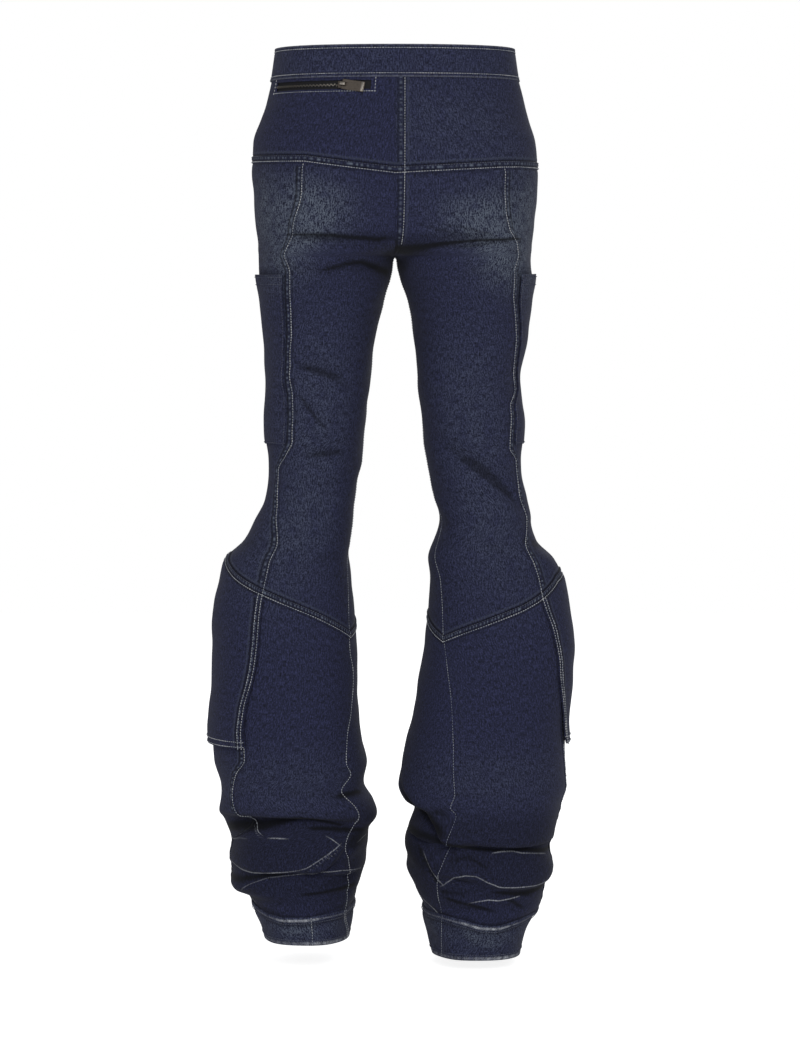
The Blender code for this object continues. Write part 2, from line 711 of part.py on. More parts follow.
def build_zip_tape_and_chain():
    angles = slot_angles()
    margin = math.degrees(TAPE_MARGIN / section("left", ZIP_LEVEL)[1])
    tape_angles = [angles[0] - margin] + angles + [angles[-1] + margin]
    back = -CLOTH - ZIP_GAP
    outer, normals = tube_patch(tape_angles, [TAPE_LOW, ZIP_BOTTOM, ZIP_TOP, TAPE_HIGH], back)
    wall("zip_tape", outer, outer - TAPE_THICKNESS * normals, -1, (TAPE, 0.9))
    start = SLIDER_ANGLE + math.degrees((SLIDER_LENGTH / 2 + GAP) / section("left", ZIP_LEVEL)[1])
    chain_angles = [start] + [angle for angle in angles if angle > start + CHAIN_FIRST_STEP]
    inner, normals = tube_patch(chain_angles, [CHAIN_LOW, CHAIN_HIGH], back + GAP)
    wall("zip_chain", inner + CHAIN_THICKNESS * normals, inner, -1, (NICKEL, 0.35, 1.0))


def zip_frame():
    """A frame on the yoke's face at the slider: along the zip to the middle, up, and out."""
    here, ahead = (placed(surface("left", angle, np.array(ZIP_LEVEL)), -1)
                   for angle in (SLIDER_ANGLE, SLIDER_ANGLE - 1.0))
    out = Vector(normal("left", np.array(SLIDER_ANGLE), np.array(ZIP_LEVEL)) * [-1, 1, 1])
    along = Vector(ahead - here)
    along = (along - out * along.dot(out)).normalized()
    frame = Matrix((along, out.cross(along), out)).transposed().to_4x4()
    frame.translation = Vector(here)
    return frame


def box(name, low, high, frame, finish=None):
    """A box between two corners given in millimetres in a frame."""
    mesh = bpy.data.meshes.new(name)
    work = bmesh.new()
    bmesh.ops.create_cube(work, size=1.0)
    for vert in work.verts:
        share = [0.5 + value for value in vert.co]
        vert.co = [(a + (b - a) * part) * MM for a, b, part in zip(low, high, share)]
    work.to_mesh(mesh)
    work.free()
    if finish:
        made = add_object(name, mesh, finish)
    else:
        made = bpy.data.objects.new(name, mesh)
        cutters.objects.link(made)
        made.hide_render = True
        made.display_type = "WIRE"
    made.matrix_world = frame
    return made


def boolean(target, tool, operation):
    step = target.modifiers.new(operation.title(), "BOOLEAN")
    step.operation = operation
    step.object = tool
    step.solver = "EXACT"


def bevel(target, width):
    step = target.modifiers.new("Bevel", "BEVEL")
    step.width = width * MM
    step.segments = 2
    step.limit_method = "ANGLE"


def build_slider_and_pull():
    frame = zip_frame()
    bottom = -CLOTH - ZIP_GAP + GAP
    half_length, half_width = SLIDER_LENGTH / 2, SLIDER_WIDTH / 2
    arch, half_arch = ARCH_LENGTH / 2, ARCH_WIDTH / 2
    slider = box("zip_slider", (-half_length, -half_width, bottom),
                 (half_length, half_width, SLIDER_TOP), frame, (NICKEL, 0.35, 1.0))
    bevel(slider, 0.5)
    bridge = box("bridge", (-arch, -half_arch, 0), (arch, half_arch, ARCH_TOP), frame)
    inside = arch - ARCH_POST
    window = box("bridge_window", (-inside, -half_width, SLIDER_TOP),
                 (inside, half_width, ARCH_TOP - 1.0), frame)
    boolean(bridge, window, "DIFFERENCE")
    boolean(slider, bridge, "UNION")

    hinge = frame @ Matrix.Translation((0, 0, AXIS_STANDOFF * MM)) \
        @ Matrix.Rotation(math.radians(-PULL_TILT), 4, "Z") \
        @ Matrix.Rotation(math.radians(PULL_LEAN), 4, "Y")
    half_plate = PULL_THICKNESS / 2
    pull = box("zip_pull", (-half_plate, -PULL_WIDTH / 2, -half_plate),
               (PULL_LENGTH, PULL_WIDTH / 2, half_plate), hinge, (NICKEL, 0.35, 1.0))
    bevel(pull, 0.45)
    length, width = PULL_HOLE
    hole = box("pull_hole", (half_plate, -width / 2, -PULL_THICKNESS),
               (half_plate + length, width / 2, PULL_THICKNESS), hinge)
    boolean(pull, hole, "DIFFERENCE")


def build_button():
    """A turned jeans button that faces forward on the waistband's lapped end."""
    profile = [(0.0, BUTTON_HEIGHT * 0.75), (0.62 * BUTTON_RADIUS, BUTTON_HEIGHT * 0.75),
               (0.72 * BUTTON_RADIUS, BUTTON_HEIGHT), (0.92 * BUTTON_RADIUS, BUTTON_HEIGHT),
               (BUTTON_RADIUS, 0.6 * BUTTON_HEIGHT), (0.9 * BUTTON_RADIUS, 0.0), (0.0, 0.0)]
    mesh = bpy.data.meshes.new("waist_button")
    points = [(x * MM, 0.0, z * MM) for x, z in profile]
    mesh.from_pydata(points, [(i, i + 1) for i in range(len(points) - 1)], [])
    button = add_object("waist_button", mesh, (NICKEL, 0.35, 1.0))
    turn = button.modifiers.new("Screw", "SCREW")
    turn.steps = turn.render_steps = 24
    turn.use_merge_vertices = True
    turn.merge_threshold = 0.00001
    _, _, centre, depth = section("left", np.array([WAIST_SEAM, ORIGIN_HEIGHT, WAIST_TOP]))
    front = centre + depth
    lean = math.atan((front[0] - front[2]) / (WAIST_TOP - WAIST_SEAM))
    face = float(front[1]) + BAND_RISE + LAP + 2 * GAP
    button.location = (BUTTON_X * MM, face * MM, 0.0)
    button.rotation_euler = (lean - math.pi / 2, 0, 0)


cutters = bpy.data.collections.new("cutters")
bpy.context.scene.collection.children.link(cutters)

for leg in SIDES:
    build_leg(leg)
build_waistband()
build_fly()
build_zip_tape_and_chain()
build_slider_and_pull()
build_button()
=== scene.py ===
# %% [markdown]
# # Flared jeans in a worn stance
# Jeans are cut flat from denim and sewn into two tubes that join at the seat. This pair is slim to
# the knee, flares below it, and is so long that the calf stacks in rolls above the hem. The packed
# model already holds each cut piece as a plain solid of the right size. This lesson gives each one a
# fine cloth surface, felled seams, topstitching, wear, painted shade and a zip, in the same places.

# %% Load the imported model, which fixes every place and size
import json
import math
from collections import namedtuple

import bpy
import numpy as np
from mathutils import Matrix, Vector


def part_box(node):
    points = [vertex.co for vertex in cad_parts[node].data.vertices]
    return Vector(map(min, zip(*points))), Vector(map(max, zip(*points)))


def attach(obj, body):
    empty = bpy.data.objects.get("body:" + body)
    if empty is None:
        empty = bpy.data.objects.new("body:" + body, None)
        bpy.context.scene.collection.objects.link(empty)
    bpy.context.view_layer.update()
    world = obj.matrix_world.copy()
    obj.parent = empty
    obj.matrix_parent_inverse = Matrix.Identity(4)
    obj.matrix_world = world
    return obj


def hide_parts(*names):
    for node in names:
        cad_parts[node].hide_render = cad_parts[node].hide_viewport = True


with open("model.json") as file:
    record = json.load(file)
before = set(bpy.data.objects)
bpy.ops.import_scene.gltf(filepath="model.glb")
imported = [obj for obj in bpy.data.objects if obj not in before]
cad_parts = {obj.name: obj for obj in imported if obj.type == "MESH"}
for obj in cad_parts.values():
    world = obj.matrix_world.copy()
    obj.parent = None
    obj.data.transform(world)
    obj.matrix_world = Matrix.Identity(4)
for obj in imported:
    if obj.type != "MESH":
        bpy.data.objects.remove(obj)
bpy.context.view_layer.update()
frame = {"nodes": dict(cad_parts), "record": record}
MM = 0.001
ORIGIN_HEIGHT = 1119.0        # height of the waistband's middle above the floor, in mm


def add_object(name, data):
    """Put new data into the scene as an object."""
    made = bpy.data.objects.new(name, data)
    bpy.context.scene.collection.objects.link(made)
    return made


# %% [markdown]
# ## Camera, light and floor
# The garment is seen from behind, from five metres away and a little below the waist. A long lens
# keeps both legs nearly free of perspective. Large soft lamps on both sides of the camera show the
# folds without hard shadows, and a pale floor stands in for a studio.

# %% Camera
VIEW_DISTANCE = 5.0
VIEW_HEIGHT = 1.319           # what the camera sees from top to bottom at the garment, in metres
VIEW_CENTRE = Vector((0.00625, 0.0, 0.5444 - ORIGIN_HEIGHT * MM))
CAMERA_HEIGHT = 0.8

camera = add_object("camera", bpy.data.cameras.new("camera"))
camera.location = (VIEW_CENTRE.x, -VIEW_DISTANCE, CAMERA_HEIGHT - ORIGIN_HEIGHT * MM)
aim = VIEW_CENTRE - camera.location
camera.rotation_euler = aim.to_track_quat("-Z", "Y").to_euler()
camera.data.lens = camera.data.sensor_width * aim.length / VIEW_HEIGHT
bpy.context.scene.camera = camera
print("lens:", round(camera.data.lens, 1), "mm")


# %% Helpers that add nodes, colours and materials
def node(tree, kind, links=None, stops=None, **settings):
    """Add a node. Links maps a socket to a node, to one of its outputs, or to a plain value.

    Stops are the (place, grey) pairs of a colour ramp."""
    made = tree.nodes.new(kind)
    for name, value in settings.items():
        setattr(made, name, value)
    for socket, source in (links or {}).items():
        if isinstance(source, bpy.types.Node):
            source = next(output for output in source.outputs if output.enabled)
        if isinstance(source, bpy.types.NodeSocket):
            tree.links.new(source, made.inputs[socket])
        else:
            made.inputs[socket].default_value = source
    while stops and len(made.color_ramp.elements) < len(stops):
        made.color_ramp.elements.new(0.5)
    for element, (place, grey) in zip(made.color_ramp.elements if stops else (), stops or ()):
        element.position = place
        element.color = (grey, grey, grey, 1)
    return made


def linear(colour):
    """An sRGB hex colour as linear red, green, blue and alpha."""
    parts = [int(colour[i:i + 2], 16) / 255 for i in (1, 3, 5)]
    return [part / 12.92 if part <= 0.04045 else ((part + 0.055) / 1.055) ** 2.4
            for part in parts] + [1.0]


def multiply(tree, first, second, **settings):
    """The product of two values."""
    return node(tree, "ShaderNodeMath", {0: first, 1: second}, operation="MULTIPLY", **settings)


def blend(tree, share, first, second):
    """A mix of two colours, each an sRGB hex colour or a node's output."""
    ends = [linear(end) if isinstance(end, str) else end for end in (first, second)]
    return node(tree, "ShaderNodeMix", {0: share, 6: ends[0], 7: ends[1]}, data_type="RGBA").outputs[2]


def new_material(name, roughness=0.5):
    """A new material, its node tree and its surface shader."""
    made = bpy.data.materials.new(name)
    made.use_nodes = True
    shader = made.node_tree.nodes["Principled BSDF"]
    shader.inputs["Roughness"].default_value = roughness
    return made, made.node_tree, shader


print("mid grey:", [round(part, 3) for part in linear("#808080")])

# %% Light
Lamp = namedtuple("Lamp", "name place size power")
LAMPS = [
    Lamp("key", (0.9, -4.2, 1.3), 1.8, 50.0),
    Lamp("fill", (-2.0, -3.6, 0.4), 2.2, 17.0),
    Lamp("back", (0.6, 3.4, 0.9), 2.0, 26.0),
]
for lamp in LAMPS:
    light = bpy.data.lights.new(lamp.name, "AREA")
    light.size = lamp.size
    light.energy = lamp.power
    holder = add_object(lamp.name, light)
    holder.location = lamp.place
    holder.rotation_euler = (VIEW_CENTRE - holder.location).to_track_quat("-Z", "Y").to_euler()

world = bpy.data.worlds.new("studio")
bpy.context.scene.world = world
world.use_nodes = True
world.node_tree.nodes.clear()
rays = node(world.node_tree, "ShaderNodeLightPath")
air = node(world.node_tree, "ShaderNodeBackground", {"Color": linear("#f4f5f8"), "Strength": 0.30})
seen = node(world.node_tree, "ShaderNodeBackground", {"Color": linear("#ffffff"), "Strength": 1.0})
either = node(world.node_tree, "ShaderNodeMixShader",
              {0: rays.outputs["Is Camera Ray"], 1: air.outputs[0], 2: seen.outputs[0]})
node(world.node_tree, "ShaderNodeOutputWorld", {"Surface": either.outputs[0]})
bpy.context.scene.view_settings.view_transform = "Standard"

# %% Floor
FLOOR_HALF = 6.0
PAPER_GLOW = 0.86             # how bright the paper looks to the camera alone

floor_mesh = bpy.data.meshes.new("floor")
floor_mesh.from_pydata([(x, y, -ORIGIN_HEIGHT * MM) for x, y in
                        ((-FLOOR_HALF, -FLOOR_HALF), (FLOOR_HALF, -FLOOR_HALF),
                         (FLOOR_HALF, FLOOR_HALF), (-FLOOR_HALF, FLOOR_HALF))],
                       [], [(0, 1, 2, 3)])
floor = add_object("floor", floor_mesh)
paper, tree, shader = new_material("white paper sweep", 0.9)
shader.inputs["Base Color"].default_value = linear("#f6f6f6")
# The camera sees the paper as pale as the air, but the paper throws little light up under the folds.
shader.inputs["Emission Color"].default_value = linear("#ffffff")
camera_ray = node(tree, "ShaderNodeLightPath").outputs["Is Camera Ray"]
seen_paper = multiply(tree, camera_ray, PAPER_GLOW)
tree.links.new(seen_paper.outputs[0], shader.inputs["Emission Strength"])
floor_mesh.materials.append(paper)
print("lamps:", len(LAMPS))

# %% [markdown]
# ## The leg as one smooth tube
# A pattern cutter thinks of a leg as a row of widths. So does this table: each row is a level
# section, with its middle, its half width and its half depth in millimetres. Angles run from the
# inner leg (0) over the back (90) and the outer side (180) to the front (270).

# %% Sections of the body and of the legs
Section = namedtuple("Section", "height centre half_width depth_centre half_depth")

TORSO = [Section(*row) for row in (
    (1139, 0, 148, 0, 105), (1099, 1, 153, -2, 110), (1050, 4, 163, -5, 118),
    (1024, 6, 169, -7, 122), (994, 9, 168, -9, 125), (950, 18, 157, -12, 127),
    (925, 30, 143, -14, 127), (910, 42, 129.5, -14, 126), (899, 56, 114.5, -14, 125),
    (890, 70, 100.5, -13, 123), (884, 81, 89, -13, 121), (881, 85, 85, -12, 120))]

LEG_SECTIONS = {
    "left": [Section(*row) for row in (
        (876, 86.2, 83.8, -12, 119), (868, 86.5, 83.3, -10, 116),
        (859, 87, 82, -8, 112), (829, 90, 76, -5, 103), (779, 93, 68, -2, 91),
        (729, 96, 65, 0, 84), (679, 99, 63, 2, 79), (654, 100, 61, 3, 76),
        (629, 100, 58, 4, 73), (604, 103, 55, 5, 70), (579, 107, 56, 6, 69),
        (554, 114, 61, 6, 71), (529, 122, 67, 5, 75), (504, 135, 78, 3, 80),
        (479, 137, 82, 0, 85), (454, 138, 86, -3, 90), (404, 137, 89, -7, 95),
        (354, 137, 90, -8, 98), (304, 137, 93, -8, 101), (278, 134, 94, -6, 103),
        (254, 131, 95, -4, 104), (224, 129, 89, -1, 104), (204, 123, 94, 0, 105),
        (189, 121, 96, 1, 105), (154, 119, 87, 2, 103), (124, 123, 85, 4, 101),
        (104, 125, 82, 5, 100), (94, 123, 77, 5, 100), (84, 116, 67, 6, 99), (64, 114, 60, 6, 98),
        (44, 111, 55, 6, 97), (20, 110, 50, 6, 95))],
    "right": [Section(*row) for row in (
        (876, 86.2, 83.8, -12, 119), (868, 86.8, 83.6, -10, 116),
        (859, 88, 83, -8, 112), (829, 91, 76, -5, 103), (779, 94, 69, -2, 91),
        (729, 91, 63, 0, 84), (679, 97, 64, 2, 79), (654, 98, 62, 3, 76),
        (629, 99, 59, 4, 73), (604, 102, 57, 5, 70), (579, 107, 57, 6, 69),
        (554, 113, 57, 6, 71), (529, 113, 64, 5, 75), (504, 121, 80, 3, 80),
        (479, 127, 84, 0, 85), (454, 129, 87, -3, 90), (404, 130, 92, -7, 95),
        (354, 124, 95, -8, 98), (304, 117, 97, -8, 101), (278, 114, 100, -6, 103),
        (254, 111, 102, -4, 104), (224, 109, 104, -1, 104), (204, 110, 98, 0, 105),
        (194, 115, 91, 1, 105), (184, 113, 91, 1, 105), (154, 105, 91, 2, 103),
        (124, 106, 93, 4, 101),
        (94, 106, 82, 5, 100), (74, 108, 75, 6, 99), (54, 104, 67, 6, 98),
        (34, 103, 59, 6, 97), (5, 102, 52, 6, 95))],
}
print("sections:", len(TORSO), "shared,", len(LEG_SECTIONS["left"]), "a leg")

# %% [markdown]
# ## Seams
# A seam that runs down the leg is an angle at each height, and one that runs round it is a height at
# each angle. The side seams wander a little, because worn cloth twists on the leg.

# %% Seam lines
Seam = namedtuple("Seam", "height angle")
Round = namedtuple("Round", "angle height")

BACK_SEAM = {
    "left": [Seam(*row) for row in (
        (1139, 129), (1060, 129), (1000, 124), (962, 124), (914, 127), (890, 124), (860, 116),
        (792, 116), (742, 118), (709, 113), (656, 111), (636, 122), (618, 134), (585, 130),
        (506, 102), (464, 105), (380, 110), (321, 118), (263, 120), (242, 131), (224, 137),
        (208, 132), (192, 126), (180, 125), (172, 132), (162, 152), (152, 168), (140, 174),
        (20, 174))],
    "right": [Seam(*row) for row in (
        (1139, 135), (987, 134), (938, 134), (914, 136), (899, 142), (886, 138), (860, 130),
        (817, 133), (743, 143), (719, 150), (697, 134), (646, 130), (629, 143), (592, 143),
        (561, 150), (507, 125), (461, 124), (421, 131), (370, 139), (313, 153), (272, 159),
        (240, 166), (212, 173), (185, 176), (5, 176))],
}
INSEAM = {
    "left": [Seam(*row) for row in (
        (881, 0), (840, -6), (700, -10), (560, 0), (470, 20), (408, 27), (367, 22), (326, 27),
        (279, 39), (256, 43), (242, 38), (222, 48), (203, 42), (184, 43), (163, 52), (122, 38),
        (65, 34), (20, 26))],
    "right": [Seam(*row) for row in (
        (881, 0), (840, -6), (700, -8), (600, 4), (531, 24), (486, 35), (415, 41), (397, 45),
        (353, 56), (299, 64), (252, 69), (221, 71), (202, 66), (159, 65), (104, 54), (57, 46),
        (5, 37))],
}
FRONT_SEAM = 232.0
KNEE_SEAM = {
    "left": [Round(*row) for row in (
        (27, 409), (72, 441), (105, 463), (140, 486), (172, 506), (232, 480), (300, 444),
        (387, 409))],
    "right": [Round(*row) for row in (
        (43, 405), (77, 425), (106, 444), (130, 462), (150, 478), (175, 487), (232, 474),
        (300, 448), (365, 429), (403, 405))],
}
YOKE_SEAM = {
    "left": [Round(0, 946.5), Round(124, 994.5), Round(165, 996.5), Round(360, 1001)],
    "right": [Round(0, 964.9), Round(131, 987.5), Round(143, 988.5), Round(360, 992)],
}
LEVELS = {"fork": 860.0, "crotch": 881.0, "crotch_edge": 903.0, "flap_end": 278.0,
          "pocket_end": 650.0, "pocket_mouth": 860.0, "zip_low": 1084.0, "zip_high": 1095.0,
          "waist": 1099.0, "seam_hidden": 194.0}
HEM_TOP = {
    "left": [Round(*row) for row in (
        (0, 75), (50, 72), (85, 68), (112, 67), (134, 71), (155, 78), (250, 77), (360, 75))],
    "right": [Round(*row) for row in (
        (0, 70), (50, 69), (74, 64), (92, 58), (108, 57), (124, 62), (150, 67), (250, 70),
        (360, 70))],
}
HEM_EDGE = {"left": 32.0, "right": 13.0}
CROTCH = LEVELS["crotch"]
print("seam lines:", len(BACK_SEAM) + len(INSEAM) + len(KNEE_SEAM) + len(YOKE_SEAM))

# %% [markdown]
# ## Folds
# Where the leg is too long, it sinks into rolls. A fold here is a ridge that bulges out and droops
# over the tuck below it. The last rows of each list are finer creases. The ones at the front, which
# is seldom seen, are of the same kind.

# %% Folds and creases
# Height and angle are a fold's middle, span its half width in degrees, tilt its rise for each 90
# degrees, sag its rise at the ends, and reach half its height. The rest are lengths.
Fold = namedtuple("Fold", "height angle span tilt sag out tuck droop reach")

FOLDS = {
    "left": [Fold(*row) for row in (
        (195, 100, 70, 4, -16, 7, 9, 18, 14), (199, 126, 24, 2, 0, 0, 8, 0, 10),
        (126, 100, 56, -10, 4, 7, 7, 16, 12), (146, 64, 16, -105, 0, 4, 5, 8, 9),
        (121, 46, 32, 0, 0, 5, 5, 10, 10), (100, 138, 28, -36, 0, 5, 4, 8, 10),
        (190, 285, 60, -8, -10, 7, 8, 18, 14), (132, 262, 58, 12, 5, 7, 7, 14, 12),
        (236, 250, 40, 14, 0, 4, 5, 6, 14), (922, 108, 30, 10, 0, 1, 4, 0, 12),
        (760, 88, 36, 28, -4, 2, 4, 0, 14), (658, 80, 34, -8, 0, 2, 4, 0, 14))],
    "right": [Fold(*row) for row in (
        (157, 114, 60, -6, -4, 8, 9, 18, 13), (188, 46, 26, -110, 0, 6, 8, 12, 11),
        (120, 76, 20, -8, -4, 5, 6, 10, 10), (104, 130, 42, 0, 0, 6, 7, 12, 11),
        (88, 104, 40, 6, 0, 3, 4, 5, 10), (196, 275, 60, 8, -10, 7, 8, 18, 14),
        (140, 292, 58, -12, 5, 7, 7, 14, 12), (238, 262, 42, -12, 0, 4, 5, 6, 14),
        (912, 110, 34, 19, 0, 1, 4, 0, 12), (638, 98, 44, -72, -8, 3, 5, 0, 15))],
}
CREASES = {
    "left": [Fold(*row) for row in (
        (907, 104, 34, 17, 0, 0, 2.2, 0, 3.5), (880, 62, 30, 16, 0, 0.5, 3.0, 0, 4.5),
        (700, 95, 16, 124, 0, 0, 1.8, 0, 5), (748, 88, 26, 28, -4, 0, 1.0, 0, 5),
        (646, 74, 24, -6, 0, 0, 1.0, 0, 5), (100, 60, 26, 0, 2, 0.5, 2.2, 0, 4),
        (176, 74, 24, -6, 0, 0, 1.6, 0, 4), (172, 150, 20, -10, 0, 0.8, 1.2, 0, 4),
        (152, 250, 40, -8, 0, 1.2, 2.0, 0, 5), (100, 300, 40, 6, 0, 1.2, 2.0, 0, 5),
        (880, 262, 26, 14, 0, 0.8, 2.0, 0, 6), (640, 262, 34, -10, 0, 1.0, 1.6, 0, 8))],
    "right": [Fold(*row) for row in (
        (900, 112, 40, 19, 0, 0, 2.4, 0, 3.5), (918, 114, 20, -46, -3, 0.4, 1.6, 0, 4),
        (886, 78, 20, -10, 0, 0, 2.0, 0, 6), (136, 50, 12, -150, 0, 0.5, 3.0, 0, 5),
        (166, 36, 24, -20, 0, 2.5, 3.0, 4, 6), (148, 116, 30, 2, 0, 0.8, 1.4, 0, 3.5),
        (150, 262, 38, 8, 0, 1.2, 2.0, 0, 5), (104, 290, 36, -6, 0, 1.2, 2.0, 0, 5),
        (880, 268, 26, 14, 0, 0.8, 2.0, 0, 6), (628, 255, 34, 12, 0, 1.0, 1.6, 0, 8))],
}
SQUARENESS = 0.10             # how far a section's corners stand out from an ellipse
TUCK_BELOW = 1.4              # a fold's tuck below its ridge, in the fold's own reach
CALM_WIDTH = 30.0             # strip beside the body's middle where folds fade out
CALM_RISE = 24.0              # below the crotch, over this height, they come back
SETTLE = 12                   # rounds in which two values that depend on each other settle
print("folds:", {leg: len(FOLDS[leg]) + len(CREASES[leg]) for leg in FOLDS})


# %% Read the tables
def read_curve(places, values, place):
    """Read values at any place on a smooth curve that never overshoots the values it joins."""
    places = np.asarray(places, float)
    values = np.asarray(values, float)
    steps = np.diff(places)
    slopes = np.diff(values) / steps
    tangents = np.empty_like(values)
    tangents[0] = slopes[0]
    tangents[-1] = slopes[-1]
    before, after = slopes[:-1], slopes[1:]
    same_way = before * after > 0
    total = np.where(same_way, before + after, 1.0)
    tangents[1:-1] = np.where(same_way, 2.0 * before * after / total, 0.0)
    place = np.clip(place, places[0], places[-1])
    i = np.clip(np.searchsorted(places, place, side="right") - 1, 0, len(steps) - 1)
    t = (place - places[i]) / steps[i]
    return (values[i] * (1 + 2 * t) * (1 - t) ** 2
            + tangents[i] * steps[i] * t * (1 - t) ** 2
            + values[i + 1] * t * t * (3 - 2 * t)
            + tangents[i + 1] * steps[i] * t * t * (t - 1))


def read_rows(rows, column, height):
    """One column of a table that lists its rows by height."""
    rows = sorted(rows)
    return read_curve([row.height for row in rows], [getattr(row, column) for row in rows], height)


def read_round(rows, angle):
    """The height of a line round the leg at an angle."""
    angles = [row.angle for row in rows]
    turned = (np.asarray(angle, float) - angles[0]) % 360.0 + angles[0]
    return np.interp(turned, angles, [row.height for row in rows])


def section(leg, height):
    """The middle and half width, then the middle and half depth, of the leg at a height."""
    rows = TORSO + LEG_SECTIONS[leg]
    return [read_rows(rows, column, height) for column in Section._fields[1:]]


print("hip half width:", float(section("left", 994.0)[1]), "mm")

# %% [markdown]
# ## Points on the cloth
# One function gives any point of the tube from its angle and height. A fold moves a point out along
# the section's own normal, and lets it down, so a strong fold hangs over the cloth below it. Small
# waves of different lengths are added, because no worn cloth is quite even.

# %% The surface
# Waves that keep the cloth uneven: how many round the leg, length in mm, lean, height in mm, start.
Wave = namedtuple("Wave", "turns length lean amount start")
WAVES = [
    Wave(2, 190, 0.8, 0.55, 0.4), Wave(3, 122, -1.2, 0.45, 2.1), Wave(5, 84, 1.6, 0.30, 4.0),
    Wave(4, 61, -0.7, 0.26, 1.2), Wave(7, 47, 1.1, 0.18, 5.2), Wave(6, 33, -2.0, 0.12, 3.3),
]
STACK_TOP = 230.0             # below this height the cloth is stacked, and rougher
STACK_RISE = 60.0             # over this height it gets rougher
STACK_ROUGH = 1.1             # and by this share
SIDES = {"left": -1, "right": 1}


def hump(place, middle, width):
    """A smooth hump, 1 at its middle and near 0 beyond two widths from it."""
    return np.exp(-((place - middle) / width) ** 2)


def unevenness(leg, angle, height):
    """Small waves all over the cloth, stronger where it is stacked."""
    out = 0.0
    turn = np.radians(angle)
    for wave in WAVES:
        phase = wave.turns * turn + wave.lean * np.sin(turn) + wave.start * (2 + SIDES[leg])
        out = out + wave.amount * np.sin(2 * np.pi * height / wave.length + phase)
    return out * (1 + STACK_ROUGH * np.clip((STACK_TOP - height) / STACK_RISE, 0, 1))


def fold_shift(leg, angle, height):
    """How far the folds push a point out, and how far they let it down."""
    out = unevenness(leg, angle, height)
    down = np.zeros(np.broadcast(angle, height).shape)
    for fold in FOLDS[leg] + CREASES[leg]:
        away = (angle - fold.angle + 180.0) % 360.0 - 180.0
        part = away / fold.span
        window = np.exp(-part ** 2)
        line = fold.height + fold.tilt * away / 90.0 + fold.sag * np.clip(part ** 2, 0, 1)
        t = (height - line - fold.droop) / fold.reach
        out = out + window * (fold.out * np.exp(-t ** 2) - fold.tuck * np.exp(-(t + TUCK_BELOW) ** 2))
        down = down + window * fold.droop * np.exp(-t ** 2)
    return out, down


def surface(leg, angle, height):
    """Points of the leg's tube in the right leg's frame, with x measured out from the middle."""
    angle = np.asarray(angle, float)
    height = np.asarray(height, float)
    out, down = fold_shift(leg, angle, height)
    level = height - down
    centre, half_width, depth_centre, half_depth = section(leg, level)
    cosine = np.cos(np.radians(angle))
    sine = np.sin(np.radians(angle))
    x = centre - half_width * cosine * (1 + SQUARENESS * sine ** 2)
    y = depth_centre - half_depth * sine * (1 + SQUARENESS * cosine ** 2)
    outward_x = -cosine * half_depth
    outward_y = -sine * half_width
    length = np.hypot(outward_x, outward_y)
    # Folds fade out at the middle of the body, where the two halves have to meet.
    on_body = np.clip((level - CROTCH) / CALM_RISE + 1.0, 0.0, 1.0)
    calm = 1.0 - on_body * (1.0 - np.clip(x / CALM_WIDTH, 0.0, 1.0) ** 2)
    return np.stack([x + calm * out * outward_x / length,
                     y + calm * out * outward_y / length, level], axis=-1)


def normal(leg, angle, height):
    """The direction that points straight out of the cloth."""
    around = surface(leg, angle + 0.5, height) - surface(leg, angle - 0.5, height)
    upward = surface(leg, angle, height + 0.5) - surface(leg, angle, height - 0.5)
    across = np.cross(around, upward)
    return across / np.linalg.norm(across, axis=-1, keepdims=True)


def placed(points, leg):
    """Millimetres in the leg's frame to metres in the garment's."""
    moved = np.array(points, float) * MM
    moved[..., 0] *= SIDES[leg]
    moved[..., 2] -= ORIGIN_HEIGHT * MM
    return moved


print("back of the left knee:", placed(surface("left", 90.0, 470.0), "left").round(3))

# %% [markdown]
# ## Felled seams
# Denim is joined with a felled seam: the edges are folded into each other, sewn down flat, and shrink
# into a rope-like band when the jeans are washed. The band is a short profile across the seam,
# given as a height at each distance. Every panel knows how far each point lies from its own seams.
# That distance also tells the finish where the band is dark, and where it is rubbed pale.

# %% Seam profile and the panels' edges
GAP = 0.3                     # between a piece and what lies on it
SLIT = 0.03                   # between two panels that meet, too fine to show daylight
BAND_EDGE = 13.0              # where a seam's band has died out
BAND_MIDDLE = 4.5             # from a seam to the middle of its band
PUCKER_AT, PUCKER_WIDTH, PUCKER = 6.2, 2.6, 0.35     # where a band swells in waves, by which share
CROSSING, CROSSING_RISE = 6.0, 3.0     # from a band's middle, where a seam under it comes out
AROUND = 95.0                 # for each radian, about, along a seam that runs round the leg
FAR = 99.0                    # stands for any distance that is too large to matter
Profile = namedtuple("Profile", "across lift")
BAND = [Profile(*row) for row in (
    (-4.0, 0.0), (-1.6, -0.15), (0.0, -0.45), (0.8, 0.45), (1.8, 0.75), (3.2, 0.35), (4.6, 0.85),
    (6.4, 1.1), (8.2, 0.85), (9.6, 0.1), (10.4, -0.3), (12.0, 0.15), (15.0, 0.0))]
# How strongly each seam shows: full on the side, yoke and knee seams, faint on the inner leg.
STRENGTH = {"side": 1.0, "inner": 0.12, "centre": 0.8, "front": 0.7, "knee": 1.1, "yoke": 1.0,
            "none": 0.0}

